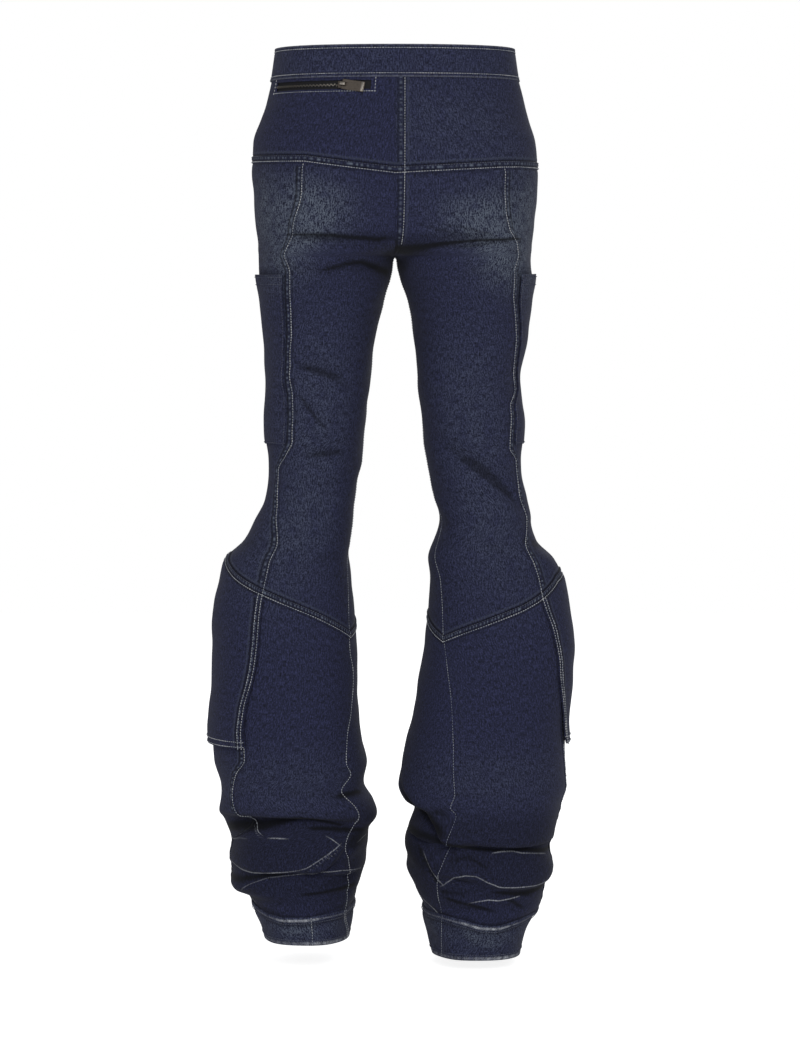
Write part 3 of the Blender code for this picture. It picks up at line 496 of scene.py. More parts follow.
# The seam at each edge of a panel, and whether the panel carries the band (1) or not (-1).
Edges = namedtuple("Edges", "first last bottom top")
EDGES = {
    "upper_back": Edges(("inner", 1), ("side", -1), ("knee", 1), ("yoke", -1)),
    "upper_side": Edges(("side", 1), ("front", -1), ("knee", 1), ("yoke", -1)),
    "upper_front": Edges(("front", 1), ("inner", -1), ("knee", 1), ("none", -1)),
    "yoke": Edges(("centre", 1), ("front", -1), ("yoke", 1), ("none", -1)),
    "calf_back": Edges(("inner", 1), ("side", -1), ("none", 1), ("knee", -1)),
    "calf_side": Edges(("side", 1), ("front", -1), ("none", 1), ("knee", -1)),
    "calf_front": Edges(("front", 1), ("inner", -1), ("none", 1), ("knee", -1)),
}


def inner_angle(leg, height):
    """The angle of the inner edge: the inseam, or the middle of the body above the crotch."""
    centre, half_width, _, _ = section(leg, height)
    share = np.clip(centre / half_width, -1.0, 1.0)
    cosine = share.copy()
    for _ in range(SETTLE):
        cosine = np.clip(share / (1 + SQUARENESS * (1 - cosine ** 2)), -1.0, 1.0)
    return np.where(height >= CROTCH, np.degrees(np.arccos(cosine)),
                    read_rows(INSEAM[leg], "angle", height))


def panel_angles(leg, panel, height):
    """The angles of a panel's first and last edge at a height."""
    kind = panel.rpartition("_")[2]
    inner = inner_angle(leg, height)
    back = read_rows(BACK_SEAM[leg], "angle", height)
    front = np.full(np.shape(height), FRONT_SEAM)
    inner_front = np.where(height >= CROTCH, 360.0 - inner, 360.0 + inner)
    return {"back": (inner, back), "side": (back, front), "front": (front, inner_front),
            "yoke": (inner, front)}[kind]


def guide(leg, name, angle):
    """The height of a guide line at an angle."""
    if name in LEVELS:
        return np.full(np.shape(angle), LEVELS[name])
    if name == "hem_edge":
        return np.full(np.shape(angle), HEM_EDGE[leg])
    lines = {"hem": HEM_TOP, "knee": KNEE_SEAM, "yoke": YOKE_SEAM}
    seam = read_round(lines[name.partition("_")[0]][leg], angle)
    return seam + (BAND_EDGE if name.endswith("_edge") else 0.0)


def radius(leg, height):
    """Millimetres round the leg for each radian."""
    _, half_width, _, half_depth = section(leg, height)
    return (half_width + half_depth) / 2


print("band height:", max(row.lift for row in BAND), "mm")


# %% A point on a finished panel
Cloth = namedtuple("Cloth", "points normals down_seam round_seam")


def nearest_seam(candidates):
    """Join (distance, place, strength) of several seams into one, by the smallest distance."""
    chosen = candidates[0]
    for other in candidates[1:]:
        nearer = np.abs(other[0]) < np.abs(chosen[0])
        chosen = [np.where(nearer, new, old) for new, old in zip(other, chosen)]
    return chosen


def pucker(place):
    """The rope-like waves that a felled seam shrinks into."""
    return (np.sin(place * 0.72 + 1.9 * np.sin(place * 0.11)) * 0.6
            + np.sin(place * 0.43 + 1.3 * np.sin(place * 0.057)) * 0.4)


def cloth(leg, panel, angle, height, proud=0.0):
    """Points of a panel's face with its seams raised, and how far each lies from its seams."""
    first, last = panel_angles(leg, panel, height)
    to_mm = np.radians(1.0) * radius(leg, height)
    edges = EDGES[panel]
    above = height >= CROTCH
    down = []
    for (seam, sign), away in ((edges.first, (angle - first) * to_mm),
                               (edges.last, (last - angle) * to_mm)):
        strength = np.full(np.shape(height), STRENGTH[seam])
        if seam in ("inner", "centre"):
            on_middle = STRENGTH["centre"] if leg == "right" and sign > 0 else 0.0
            strength = np.where(above, on_middle, strength)
        down.append([away * sign, height + 0.0 * away, strength + 0.0 * away])
    across = []
    for (seam, sign), edge in ((edges.bottom, "bottom"), (edges.top, "top")):
        if seam != "none":
            line = guide(leg, seam, angle)
            away = height - line if edge == "bottom" else line - height
            across.append([away * sign, np.radians(angle) * AROUND + 0.0 * away,
                           STRENGTH[seam] + 0.0 * away])
    if not across:
        across = [[np.full(np.shape(height), FAR) + 0.0 * angle] * 2 + [0.0 * angle]]
    down, across = nearest_seam(down), nearest_seam(across)
    # A seam that runs round passes over the ends of those that run down.
    off_band = np.abs(across[0] - BAND_MIDDLE)
    down[2] = down[2] * np.clip((off_band - CROSSING) / CROSSING_RISE, 0, 1)
    lift = 0.0
    for away, place, strength in (down, across):
        swell = 1 + PUCKER * pucker(place) * hump(away, PUCKER_AT, PUCKER_WIDTH)
        lift = lift + strength * swell * read_curve(*zip(*BAND), away)
    face = normal(leg, angle, height)
    points = surface(leg, angle, height) + (lift + proud)[..., None] * face
    return Cloth(points, face, np.stack(down, axis=-1), np.stack(across, axis=-1))


sample = cloth("left", "upper_back", np.array([100.0]), np.array([700.0]))
print("nearest seam at the back of the thigh:", float(sample.down_seam[0, 0].round(1)), "mm")

# %% [markdown]
# ## Grids of points
# A panel is a grid between its seams. Rows lie close together at a seam, where the band is narrow,
# and a few millimetres apart elsewhere. A seam's angle depends on the height, and a row's height on
# the angle, so both are worked out a few times until they agree.

# %% Rows and columns
Stretch = namedtuple("Stretch", "below above step")
BAND_STEP = 1.3
ROWS = {
    "upper": [Stretch("knee", "knee_edge", BAND_STEP), Stretch("knee_edge", "fork", 2.7),
              Stretch("fork", "crotch", 2.0), Stretch("crotch", "crotch_edge", 1.4),
              Stretch("crotch_edge", "yoke", 2.0)],
    "front": [Stretch("knee", "knee_edge", BAND_STEP), Stretch("knee_edge", "fork", 3.2),
              Stretch("fork", "crotch", 2.0), Stretch("crotch", "crotch_edge", 1.4),
              Stretch("crotch_edge", "waist", 3.2)],
    "yoke": [Stretch("yoke", "yoke_edge", BAND_STEP), Stretch("yoke_edge", "zip_low", 3.0),
             Stretch("zip_low", "zip_high", 1.9), Stretch("zip_high", "waist", 1.4)],
    "calf": [Stretch("hem_top", "flap_end", 1.9), Stretch("flap_end", "knee", 3.0)],
    "hem": [Stretch("hem_edge", "hem_top", 1.9)],
    "pocket": [Stretch("pocket_end", "pocket_mouth", 3.0)],
    "flap": [Stretch("flap_end", "knee", 3.0)],
}
COLUMN_STEP = 3.0
LAST_TAIL = 3.0               # a narrow strip along the last edge
COUNT_ANGLE = 120.0           # rows are counted here, and the search for a panel's points starts here


def steps(length, step):
    """How many whole steps come nearest to a length."""
    return max(1, round(length / step))


def row_marks(leg, kind):
    """Each row as a share of the way between two guide lines."""
    marks = []
    for stretch in ROWS[kind]:
        below, above = (float(guide(leg, name, COUNT_ANGLE)) for name in (stretch.below, stretch.above))
        count = steps(above - below, stretch.step)
        marks += [(stretch.below, stretch.above, i / count) for i in range(count)]
    return marks + [(ROWS[kind][-1].below, ROWS[kind][-1].above, 1.0)]


def column_marks(width, band):
    """Each column as millimetres from an edge, or as a share of the way between."""
    dense = [("first", BAND_STEP * i) for i in range(round(band / BAND_STEP))]
    count = steps(width - band - LAST_TAIL, COLUMN_STEP)
    between = [("between", i / count) for i in range(count + 1)]
    return dense + between + [("last", LAST_TAIL / 2), ("last", 0.0)]


def grid_places(leg, panel, rows, columns, band):
    """The angle and the height of every point of a panel's grid."""
    angles = np.full((len(rows), len(columns)), COUNT_ANGLE)
    heights = np.zeros_like(angles)
    for _ in range(SETTLE):
        for r, (below, above, share) in enumerate(rows):
            low = guide(leg, below, angles[r])
            heights[r] = low + share * (guide(leg, above, angles[r]) - low)
        first, last = panel_angles(leg, panel, heights)
        degree = np.degrees(1.0 / radius(leg, heights))
        start, end = first + band * degree, last - LAST_TAIL * degree
        for c, (edge, amount) in enumerate(columns):
            angles[:, c] = {"first": first[:, c] + amount * degree[:, c],
                            "between": start[:, c] + amount * (end[:, c] - start[:, c]),
                            "last": last[:, c] - amount * degree[:, c]}[edge]
    return angles, heights


print("rows of an upper panel:", len(row_marks("left", "upper")))

# %% [markdown]
# ## From a grid to a piece of cloth
# A real panel is a flat sheet, so the finish needs to know where each point lay before it was worn:
# the grain of denim runs down the leg and bends with it. That place goes into a UV map in metres.
# Hollows also get painted shade, so each point stores how far it stands out from its neighbours up,
# down, left and right.

# %% Make a mesh from a grid
WALL = 1.5                    # one layer of denim
DOUBLE_WALL = 2.4             # a hem or a waistband
WEAR_REACH = 3                # rows or columns over which a ridge is measured


def bulge(points, normals):
    """How far each point stands out from its neighbours, in mm."""
    found = np.zeros(points.shape[:2])
    k = WEAR_REACH
    for axis in (0, 1):
        flat = np.moveaxis(points, axis, 0)
        if len(flat) <= 2 * k:
            continue
        middle = flat[k:-k] - (flat[2 * k:] + flat[:-2 * k]) / 2
        part = np.zeros(flat.shape)
        part[k:-k] = middle
        found += np.sum(np.moveaxis(part, 0, axis) * normals, axis=-1)
    return found


def flat_places(points):
    """Where each point lay on the flat cloth, in metres: across from the middle column, and up."""
    across = np.linalg.norm(np.diff(points, axis=1), axis=-1)
    across = np.concatenate([np.zeros((len(points), 1)), np.cumsum(across, axis=1)], axis=1)
    middle = points.shape[1] // 2
    up = np.linalg.norm(np.diff(points[:, middle], axis=0), axis=-1)
    up = np.concatenate([[0.0], np.cumsum(up)])
    return np.stack([across - across[:, middle:middle + 1],
                     np.broadcast_to(up[:, None], across.shape)], axis=-1) * MM


def inset(points, normals, closed=False):
    """Draw a grid's edges in by half a slit, square to each edge."""
    points = points.copy()
    lines = [(points[at], normals[at], points[beside]) for at, beside in ((0, 1), (-1, -2))]
    if not closed:
        lines += [(points[:, at], normals[:, at], points[:, beside])
                  for at, beside in ((0, 1), (-1, -2))]
    moves = []
    for edge, facing, beside in lines:
        square = np.cross(np.gradient(edge, axis=0), facing)
        square /= np.maximum(np.linalg.norm(square, axis=-1, keepdims=True), 1e-9)
        toward = np.sign(np.sum(square * (beside - edge), axis=-1, keepdims=True))
        moves.append(SLIT / 2 * toward * square)
    for (edge, _, _), move in zip(lines, moves):
        edge += move
    return points


def grid_mesh(name, points, leg, facts, closed=False, hole=None, wall=WALL):
    """A sheet of cloth from a grid of points in mm, with its facts stored on the points."""
    rows, columns = points.shape[:2]
    uv = facts.pop("uv")
    spots = placed(points, leg)
    r, c = np.meshgrid(np.arange(rows - 1), np.arange(columns - (0 if closed else 1)), indexing="ij")
    r, c = r.ravel(), c.ravel()
    if hole is not None:
        keep = ~hole[r, c]
        r, c = r[keep], c[keep]
    corners = [(r, c), (r + 1, c), (r + 1, c + 1), (r, c + 1)]
    if SIDES[leg] > 0:
        corners = corners[::-1]
    faces = np.stack([a * columns + b % columns for a, b in corners], axis=1)
    used, faces = np.unique(faces, return_inverse=True)
    faces = faces.reshape(-1, 4)
    mesh = bpy.data.meshes.new(name)
    mesh.from_pydata(spots.reshape(-1, 3)[used].tolist(), [], faces.tolist())
    layer = mesh.uv_layers.new(name="cloth")
    layer.data.foreach_set("uv", np.stack([uv[a, b] for a, b in corners], axis=1).ravel())
    for fact, values in facts.items():
        kind = "FLOAT_VECTOR" if values.ndim == 3 else "FLOAT"
        stored = mesh.attributes.new(fact, kind, "POINT")
        flat = values.reshape(rows * columns, -1)[used].ravel().astype(np.float32)
        stored.data.foreach_set("vector" if kind == "FLOAT_VECTOR" else "value", flat)
    edge_of_corner = np.zeros(len(mesh.loops), np.int32)
    mesh.loops.foreach_get("edge_index", edge_of_corner)
    rim = np.bincount(edge_of_corner, minlength=len(mesh.edges)) == 1
    mesh.shade_smooth()
    mesh.attributes.new("sharp_edge", "BOOLEAN", "EDGE").data.foreach_set("value", rim)
    made = add_object(name, mesh)
    shell = made.modifiers.new("wall", "SOLIDIFY")
    shell.thickness = wall * MM
    shell.offset = -1.0
    shell.material_offset = 1
    shell.use_even_offset = False
    return made


print("wall:", WALL, "mm")

# %% [markdown]
# ## Fades, rubbed lines and painted shade
# Jeans fade where they are sat on and rubbed: in soft patches at the seat and the hips, and in sharp
# pale lines along the ridges of the stack and the hem. Where a fold hangs over, the cloth below it
# gets little light, so painted shade makes it nearly black; troughs and the stack get painted shade too.
# All of these are given in tables.

# %% Fade patches, rubbed lines and painted shade
Patch = namedtuple("Patch", "height angle tall wide amount")
FADES = {
    "left": [Patch(*row) for row in (
        (925, 118, 34, 16, 0.75), (955, 122, 26, 14, 0.35), (935, 152, 44, 20, 0.65),
        (878, 126, 34, 24, 0.5), (700, 90, 110, 44, 0.2), (540, 96, 90, 44, 0.22),
        (240, 90, 36, 60, 0.12), (945, 262, 60, 24, 0.5), (760, 262, 160, 34, 0.5),
        (560, 262, 60, 30, 0.35))],
    "right": [Patch(*row) for row in (
        (925, 124, 30, 20, 0.8), (885, 128, 34, 24, 0.5), (900, 158, 60, 18, 0.55),
        (950, 160, 40, 22, 0.4), (874, 122, 34, 24, 0.35), (700, 90, 110, 44, 0.18),
        (240, 100, 36, 60, 0.12), (540, 96, 90, 44, 0.18), (1040, 116, 60, 40, 0.16),
        (945, 268, 60, 24, 0.5), (760, 262, 160, 34, 0.5), (560, 262, 60, 30, 0.35))],
}
# A rubbed line runs along a ridge. Each of its (angle, level, amount) points says how strong it is
# there. Each point of the cloth knows only its nearest line, so lines that come near each other are
# in different rows of the table.
Line = namedtuple("Line", "width points")
RUBBED_LINES = {
    "left": [
        [Line(*row) for row in (
            (0.75, ((170, 132, 0.2), (160, 128, 0.9), (150, 125.5, 0.65), (140, 123, 0.85), (126, 121, 0.7),
                    (116, 122, 0.9), (104, 124, 0.75), (96, 125, 0.4), (88, 127, 0.25), (82, 130, 0.45),
                    (72, 142, 0.5), (64, 151, 0.7), (56, 160, 0.5))),
            (1.0, ((174, 157, 0.2), (160, 158, 0.4), (146, 162, 0.15), (132, 163, 0.1))),
            (0.9, ((114, 166, 0.3), (105, 166.5, 0.6), (96, 166, 0.4))),
            (1.0, ((172, 88, 0.2), (160, 82, 0.45), (148, 79, 0.2))),
            (1.2, ((222, 118, 0.5), (262, 128, 0.8), (300, 138, 0.5))),
            (1.1, ((240, 186, 0.3), (285, 188, 0.5), (330, 178, 0.3))))],
        [Line(*row) for row in (
            (0.65, ((142, 96, 0.35), (126, 108, 0.2), (112, 116, 0.25), (92, 120, 0.3), (80, 122, 0.35),
                    (68, 123, 0.55), (52, 124, 0.6), (42, 123, 0.55), (30, 122, 0.3), (14, 120, 0.5))),
            (0.7, ((70, 170, 0.4), (64, 164, 0.7), (56, 154, 0.4))),
            (0.8, ((40, 157, 0.2), (28, 162, 0.35), (14, 164, 0.3))),
            (0.5, ((133, 192, 0.6), (127, 186, 0.9), (121, 173, 1.0), (116, 168, 0.6))))]],
    "right": [
        [Line(*row) for row in (
            (0.75, ((56, 103, 0.3), (61, 107, 0.25), (65, 111, 0.35), (71, 117, 0.55), (80, 120, 0.6),
                    (87, 119, 0.4), (94, 112, 0.5), (104, 105, 0.75), (116, 104, 0.75), (136, 104, 0.5),
                    (150, 106, 0.6), (166, 107, 0.5))),
            (0.9, ((97, 147, 0.3), (106, 149, 0.5), (116, 149, 0.35), (124, 146, 0.4), (134, 144.5, 0.25),
                   (158, 140, 0.4))),
            (0.9, ((6, 92, 0.4), (18, 85, 0.8), (31, 78, 0.6), (40, 72, 0.8), (48, 64, 0.6))),
            (1.2, ((240, 136, 0.5), (290, 140, 0.8), (330, 130, 0.5))),
            (1.1, ((232, 190, 0.3), (275, 194, 0.5), (320, 186, 0.3))))],
        [Line(*row) for row in (
            (0.7, ((78, 85, 0.15), (88, 88, 0.4), (96, 89.5, 0.7), (104, 88, 0.85), (114, 89.5, 0.6),
                   (127, 92, 0.6))),
            (0.8, ((42, 150, 0.2), (47, 140, 0.4), (52, 128, 0.35), (57, 112, 0.6), (62, 104, 0.4))))]],
}
# A painted shade runs under a fold that hangs over, or along a trough. Each of its (angle, level,
# half height) points gives how far up and down it reaches. A wide weak one softens a narrow strong one.
Shade = namedtuple("Shade", "amount points")
SHADES = {
    "left": [Shade(*row) for row in (
        (1.0, ((46, 178, 2.5), (60, 183, 2.5), (74, 188.5, 2.5), (86, 192, 2.5), (96, 189, 4.5),
               (106, 185.5, 7), (116, 181.5, 8.5), (128, 180, 9.5), (138, 179, 9.5), (150, 176, 9),
               (166, 172, 7), (186, 168, 4))),
        (1.0, ((18, 168, 2.4), (32, 172, 3.4), (44, 174, 4), (60, 176.5, 4), (73, 178.5, 3.6),
               (90, 179, 1.6))),
        (1.0, ((16, 218, 2.4), (30, 219, 3.4), (42, 218.5, 4), (50, 217.5, 3.8), (62, 216, 2))),
        (1.0, ((90, 122.5, 1), (104, 120.5, 2.2), (116, 118, 3.6), (128, 114.5, 5), (142, 111.5, 5.8),
               (156, 110.5, 5.8), (172, 112, 5), (192, 116, 3))),
        (1.0, ((16, 102, 2.4), (30, 101.5, 4), (44, 101, 3.6), (58, 99.5, 3.2), (74, 97, 2.4),
               (92, 95, 1.4))),
        (0.55, ((6, 82, 2), (42, 78.5, 2.6), (58, 74.5, 2.6), (82, 67, 2.6), (112, 69, 2.6),
                (122, 71.5, 3.4), (150, 78, 5), (176, 82, 3))),
        (0.95, ((62, 900, 2), (68, 901, 3.4), (75, 901.5, 4), (84, 902.5, 3.6), (92, 903.5, 3.4),
                (104, 906, 3), (116, 907, 2.2), (136, 907.5, 1.4))),
        (0.32, ((58, 899, 12), (84, 901, 10), (104, 904, 7), (130, 904, 4))),
        (1.0, ((12, 860, 5), (36, 865, 6), (48, 869.5, 5), (58, 873.5, 3.8), (72, 872, 2.8),
               (85, 866, 2.2), (98, 861, 1.2))),
        (0.3, ((18, 862, 9), (48, 868, 9), (72, 871, 7), (98, 861, 4))),
        (0.75, ((12, 880, 4), (30, 884, 4.5), (44, 887, 4), (54, 889, 2.5))),
        (0.85, ((-36, 160, 14), (0, 166, 17), (25, 166, 16), (42, 160, 13), (58, 152, 6))),
        (0.55, ((20, 112, 5), (44, 111, 6), (60, 109, 5), (76, 108, 3))),
        (0.22, ((48, 716, 5), (83, 739, 5), (110, 744, 3))),
        (0.2, ((78, 669, 4), (94, 691, 5), (113, 716, 3))),
        (0.25, ((52, 641, 4), (73, 641, 4), (94, 633, 3))),
        (0.9, ((234, 177, 4), (262, 180, 7), (290, 178, 7), (332, 170, 4))),
        (0.8, ((230, 116, 3), (262, 121, 5), (302, 126, 4))))],
    "right": [Shade(*row) for row in (
        (1.0, ((8, 220, 6), (26, 200, 11), (36, 192, 10), (48, 184, 10), (58, 174, 8), (70, 160, 5))),
        (0.7, ((-36, 150, 14), (0, 150, 17), (26, 146, 17), (44, 132, 15), (58, 118, 7))),
        (1.0, ((-4, 173, 4), (10, 172, 6), (22, 170, 7), (44, 166.5, 6), (55, 161, 4.4), (74, 157, 2.6))),
        (1.0, ((54, 159, 2.2), (68, 158, 3.2), (80, 154.5, 3.6), (92, 152, 3.2), (104, 150.5, 2.4),
               (118, 150, 1.4))),
        (1.0, ((104, 151, 1.5), (119, 150.5, 2.4), (130, 149.5, 3.2), (142, 146.5, 3.8), (156, 144.5, 3.6),
               (188, 143, 3))),
        (0.8, ((60, 133, 2.4), (66, 135.5, 3), (74, 140, 3.4), (81, 142, 3.6), (90, 134.5, 3.8),
               (97, 126, 3.6), (104, 112, 3))),
        (1.0, ((28, 164, 3), (36, 152, 4), (42, 144, 4), (49, 134, 3.6), (55, 114, 3.2), (66, 98, 2.2))),
        (0.8, ((48, 99, 2.2), (60, 98.5, 3.6), (71, 97.5, 3.6), (86, 96, 2))),
        (0.9, ((52, 93, 2), (64, 89.5, 3), (81, 83, 3.4), (90, 79, 3), (106, 73, 2))),
        (0.9, ((104, 89, 2), (116, 87, 3), (124, 81, 3), (138, 72, 2.2))),
        (1.0, ((92, 99, 1.6), (106, 98, 3.2), (121, 95, 3.8), (137, 94.5, 4.2), (150, 96, 4),
               (184, 99, 2.8))),
        (0.6, ((16, 83, 2), (40, 74, 2.6), (52, 69, 2.6), (77, 65, 2.6), (91, 58.5, 2.6), (108, 58.5, 2.6),
               (120, 62.5, 2.6), (160, 67, 2.6))),
        (1.0, ((30, 886, 6), (46, 888, 6.5), (55, 889.5, 6), (66, 891, 4.8), (79, 893.5, 3.4), (99, 898, 2.5),
               (112, 900, 2.1), (135, 901.5, 1.7), (156, 903.5, 1.1))),
        (0.4, ((44, 892, 12), (66, 895, 11), (84, 899, 9), (104, 903, 8), (126, 905, 5))),
        (0.5, ((84, 920, 1.6), (88, 919, 2), (95, 913, 2.4), (104, 908, 2.4), (120, 903, 2))),
        (0.5, ((2, 880, 5), (12, 876, 9), (22, 868, 11), (32, 872, 8), (42, 879, 5))),
        (0.28, ((59, 638, 4), (85, 628, 5), (102, 615, 5), (117, 597, 5), (133, 579, 4))),
        (0.9, ((238, 177, 4), (275, 184, 7), (312, 180, 5))),
        (0.8, ((248, 123, 4), (290, 128, 6), (332, 121, 4))))],
}


def fade(leg, angle, height):
    """How faded the cloth is, from 0 to 1."""
    total = 0.0 * angle
    for patch in FADES[leg]:
        away = (angle - patch.angle + 180.0) % 360.0 - 180.0
        part = (away / patch.wide) ** 2 + ((height - patch.height) / patch.tall) ** 2
        total = total + patch.amount * np.exp(-part)
    return np.clip(total, 0, 1)


LINE_REACH = 3.6              # mm: a line is stored on the points this near to it
LINE_END = 5.0                # degrees over which a line fades out at its ends
SHADE_END = 11.0              # and a shade
LINE_TURN = 1.0               # degrees to both sides over which a line's slope is measured
NO_LINE = 9.0                 # in line widths, stands for no line near
# Painted shade over the whole stack, which gets less light: (level, share).
STACK_SHADE = ((75, 0.14), (95, 0.36), (150, 0.42), (186, 0.36), (204, 0.0))
HOLLOW = (0.2, 1.5)           # depth of a dip in mm where painted shade starts, and where it is darkest
HOLLOW_SHARE = 0.6            # how dark the painted shade in dips is, beside that under folds
SEAM_CLEAR, SEAM_CLEAR_RISE = 10.0, 6.0     # from a band's middle, where hollows start to count


def follow(points, leg, angle, level, end):
    """Values at each angle of rows that start with an angle and a level, and the place along them."""
    columns = [np.array(column, float) for column in zip(*sorted(points))]
    middle = (columns[0][0] + columns[0][-1]) / 2
    turned = (angle - middle + 180.0) % 360.0 - 180.0 + middle
    ahead, behind = (np.interp(turned + turn, *columns[:2]) for turn in (LINE_TURN, -LINE_TURN))
    rise = (ahead - behind) / (2 * LINE_TURN)
    square = np.hypot(1.0, np.degrees(rise) / radius(leg, level))
    inward = np.minimum(turned - columns[0][0], columns[0][-1] - turned)
    values = [np.interp(turned, columns[0], column) for column in columns[1:]]
    return (level - values[0]) / square, values[1:], np.clip(inward / end, 0, 1)


def along_lines(lines, leg, angle, level):
    """How far each point lies from its nearest line, in line widths, and how strong that line is."""
    away = np.full(np.shape(level), NO_LINE)
    amount = np.zeros(np.shape(level))
    for line in lines:
        off, (strength,), ends = follow(line.points, leg, angle, level, LINE_END)
        off = off / line.width
        nearer = (np.abs(off) < np.abs(away)) & (ends > 0)
        close = np.abs(off) * line.width < LINE_REACH
        away = np.where(nearer, off, away)
        amount = np.where(nearer, strength * close * ends, amount)
    return np.stack([away, amount, 0 * away], axis=-1)


def shade(leg, angle, level):
    """How deep the painted shade is at each point, from 0 to 1."""
    deepest = np.interp(level, *zip(*STACK_SHADE)) + 0.0 * angle
    for row in SHADES[leg]:
        off, (half,), ends = follow(row.points, leg, angle, level, SHADE_END)
        deepest = np.maximum(deepest, row.amount * ends * np.exp(-np.abs(off / half) ** 3))
    return deepest


def band_facts(points, fade, hollow_shade, rubbed):
    """The facts of a band with one row of rubbed lines and no seams of its own."""
    none = np.zeros(rubbed.shape)
    return {"uv": flat_places(points), "fade": fade, "hollow_shade": hollow_shade, "rubbed": rubbed,
            "rubbed_too": none, "down_seam": none, "round_seam": none}


def wear_and_shade(leg, made, angle, height):
    """The facts that the finish reads: where a point lay, its fade, painted shade, lines and seams."""
    stands = bulge(made.points, made.normals)
    by_seam = np.minimum(*(np.abs(seam[..., 0] - BAND_MIDDLE)
                           for seam in (made.down_seam, made.round_seam)))
    # Painted shade in the dips of the cloth, joined with the painted shade under folds and along troughs.
    hollow_shade = (np.clip((-stands - HOLLOW[0]) / (HOLLOW[1] - HOLLOW[0]), 0, 1)
              * np.clip((by_seam - SEAM_CLEAR) / SEAM_CLEAR_RISE, 0, 1))
    level = made.points[..., 2]
    hollow_shade = np.maximum(HOLLOW_SHARE * hollow_shade, shade(leg, angle, level))
    rubbed, rubbed_too = (along_lines(lines, leg, angle, level) for lines in RUBBED_LINES[leg])
    return {"uv": flat_places(made.points), "fade": fade(leg, angle, height), "hollow_shade": hollow_shade,
            "rubbed": rubbed, "rubbed_too": rubbed_too,
            "down_seam": made.down_seam, "round_seam": made.round_seam}


print("fade at the left seat:", round(float(fade("left", np.array(118.0), 925.0)), 2))

# %% [markdown]
# ## The cut panels
# Each leg has a back, a side and a front panel above the knee and again below it, and half of the
# yoke. They are all made by one function, so neighbours share their seams.

# %% Panels of both legs
COLUMN_WIDTH = {"upper_back": 170, "upper_side": 130, "upper_front": 180, "calf_back": 150,
                "calf_side": 170, "calf_front": 210, "yoke": 330}
SLOT_FROM, SLOT_TO = 99.3, 157.8       # angles of the ends of the zip's slot
SLOT_BEND = 30.0              # over this height below the slot, two columns bend to its ends
MIDDLE = 0.02                 # mm from the middle of the body to the edge of each half
PIECES = {}


def off_middle(points):
    """Keep a half of the body on its own side of the middle, with no slit that shows daylight."""
    points[..., 0] = np.where(points[..., 0] < GAP, MIDDLE, points[..., 0])
    return points


def make_panel(leg, panel, kind):
    """One panel of one leg. The kind says how its rows are spaced."""
    rows = row_marks(leg, kind)
    band = BAND_EDGE if EDGES[panel].first[1] > 0 else BAND_STEP
    columns = column_marks(COLUMN_WIDTH[panel], band)
    angles, heights = grid_places(leg, panel, rows, columns, band)
    hole = None
    if panel == "yoke" and leg == "left":
        # The slot's ends fall exactly on a column.
        near = np.clip((heights - LEVELS["zip_low"]) / SLOT_BEND + 1, 0, 1)
        for end in (SLOT_FROM, SLOT_TO):
            c = int(np.argmin(np.abs(angles[-1] - end)))
            angles[:, c] += near[:, c] * (end - angles[:, c])
        corner, turned = heights[:-1, :-1], angles[:-1, :-1]
        hole = ((corner > LEVELS["zip_low"] - 0.1) & (corner < LEVELS["zip_high"] - 0.5)
                & (turned > SLOT_FROM - 0.01) & (turned < SLOT_TO - 0.01))
    made = cloth(leg, panel, angles, heights)
    facts = wear_and_shade(leg, made, angles, heights)
    points = off_middle(inset(made.points, made.normals))
    PIECES[f"{panel}_{leg}"] = grid_mesh(f"denim_{panel}_{leg}", points, leg, facts, hole=hole)


for leg in SIDES:
    for panel in EDGES:
        start = panel.partition("_")[0]
        make_panel(leg, panel, "front" if panel == "upper_front" else start)
print("panels:", len(PIECES), "faces:", sum(len(made.data.polygons) for made in PIECES.values()))

# %% [markdown]
# ## Pockets and flaps
# A patch pocket lies on each thigh, sewn down at its sides and foot, and its mouth stands open a
# little. A long flap hangs from the knee seam over the side of each calf, and only its lower edge
# is free. Both are made from the points of the panel below them, moved out.

# %% Applied pieces
POCKET_PROUD = 3.5
FLAP_PROUD = 4.5
POCKET_FROM = 12.0            # from the side seam, beside its band
APPLIED_TO = 0.85             # both end before the front side seam
APPLIED_COLUMNS = 46
APPLIED_ANGLE = 150.0         # where the search for their points starts
TURNED_EDGE = 0.3             # their edges are turned under, so they stand out a little
TURNED_SHARE = 0.12           # over this share of the width


def make_applied(leg, name, panel, kind, offset, proud_at):
    """A piece on a panel: proud_at gives how far it stands off, from its foot to its top."""
    rows = row_marks(leg, kind)
    shares = np.linspace(0, 1, APPLIED_COLUMNS)
    angles = np.full((len(rows), len(shares)), APPLIED_ANGLE)
    for _ in range(SETTLE):
        heights = np.stack([
            guide(leg, below, line) + share * (guide(leg, above, line) - guide(leg, below, line))
            for (below, above, share), line in zip(rows, angles)])
        first, last = panel_angles(leg, panel, heights)
        start = first + offset * np.degrees(1.0 / radius(leg, heights))
        end = first + APPLIED_TO * (last - first)
        angles = start + shares * (end - start)
    up = np.linspace(0, 1, len(rows))[:, None]
    proud = WALL + GAP + proud_at(up) + 0 * angles
    rim = np.minimum(np.minimum(shares, 1 - shares), TURNED_SHARE) / TURNED_SHARE
    made = cloth(leg, panel, angles, heights, proud + TURNED_EDGE * (1 - rim))
    if kind == "pocket":
        made = made._replace(down_seam=made.down_seam * [1, 1, 0])
    facts = wear_and_shade(leg, made, angles, heights)
    PIECES[f"{name}_{leg}"] = grid_mesh(f"denim_{name}_{leg}", made.points, leg, facts)
    return angles, heights, proud


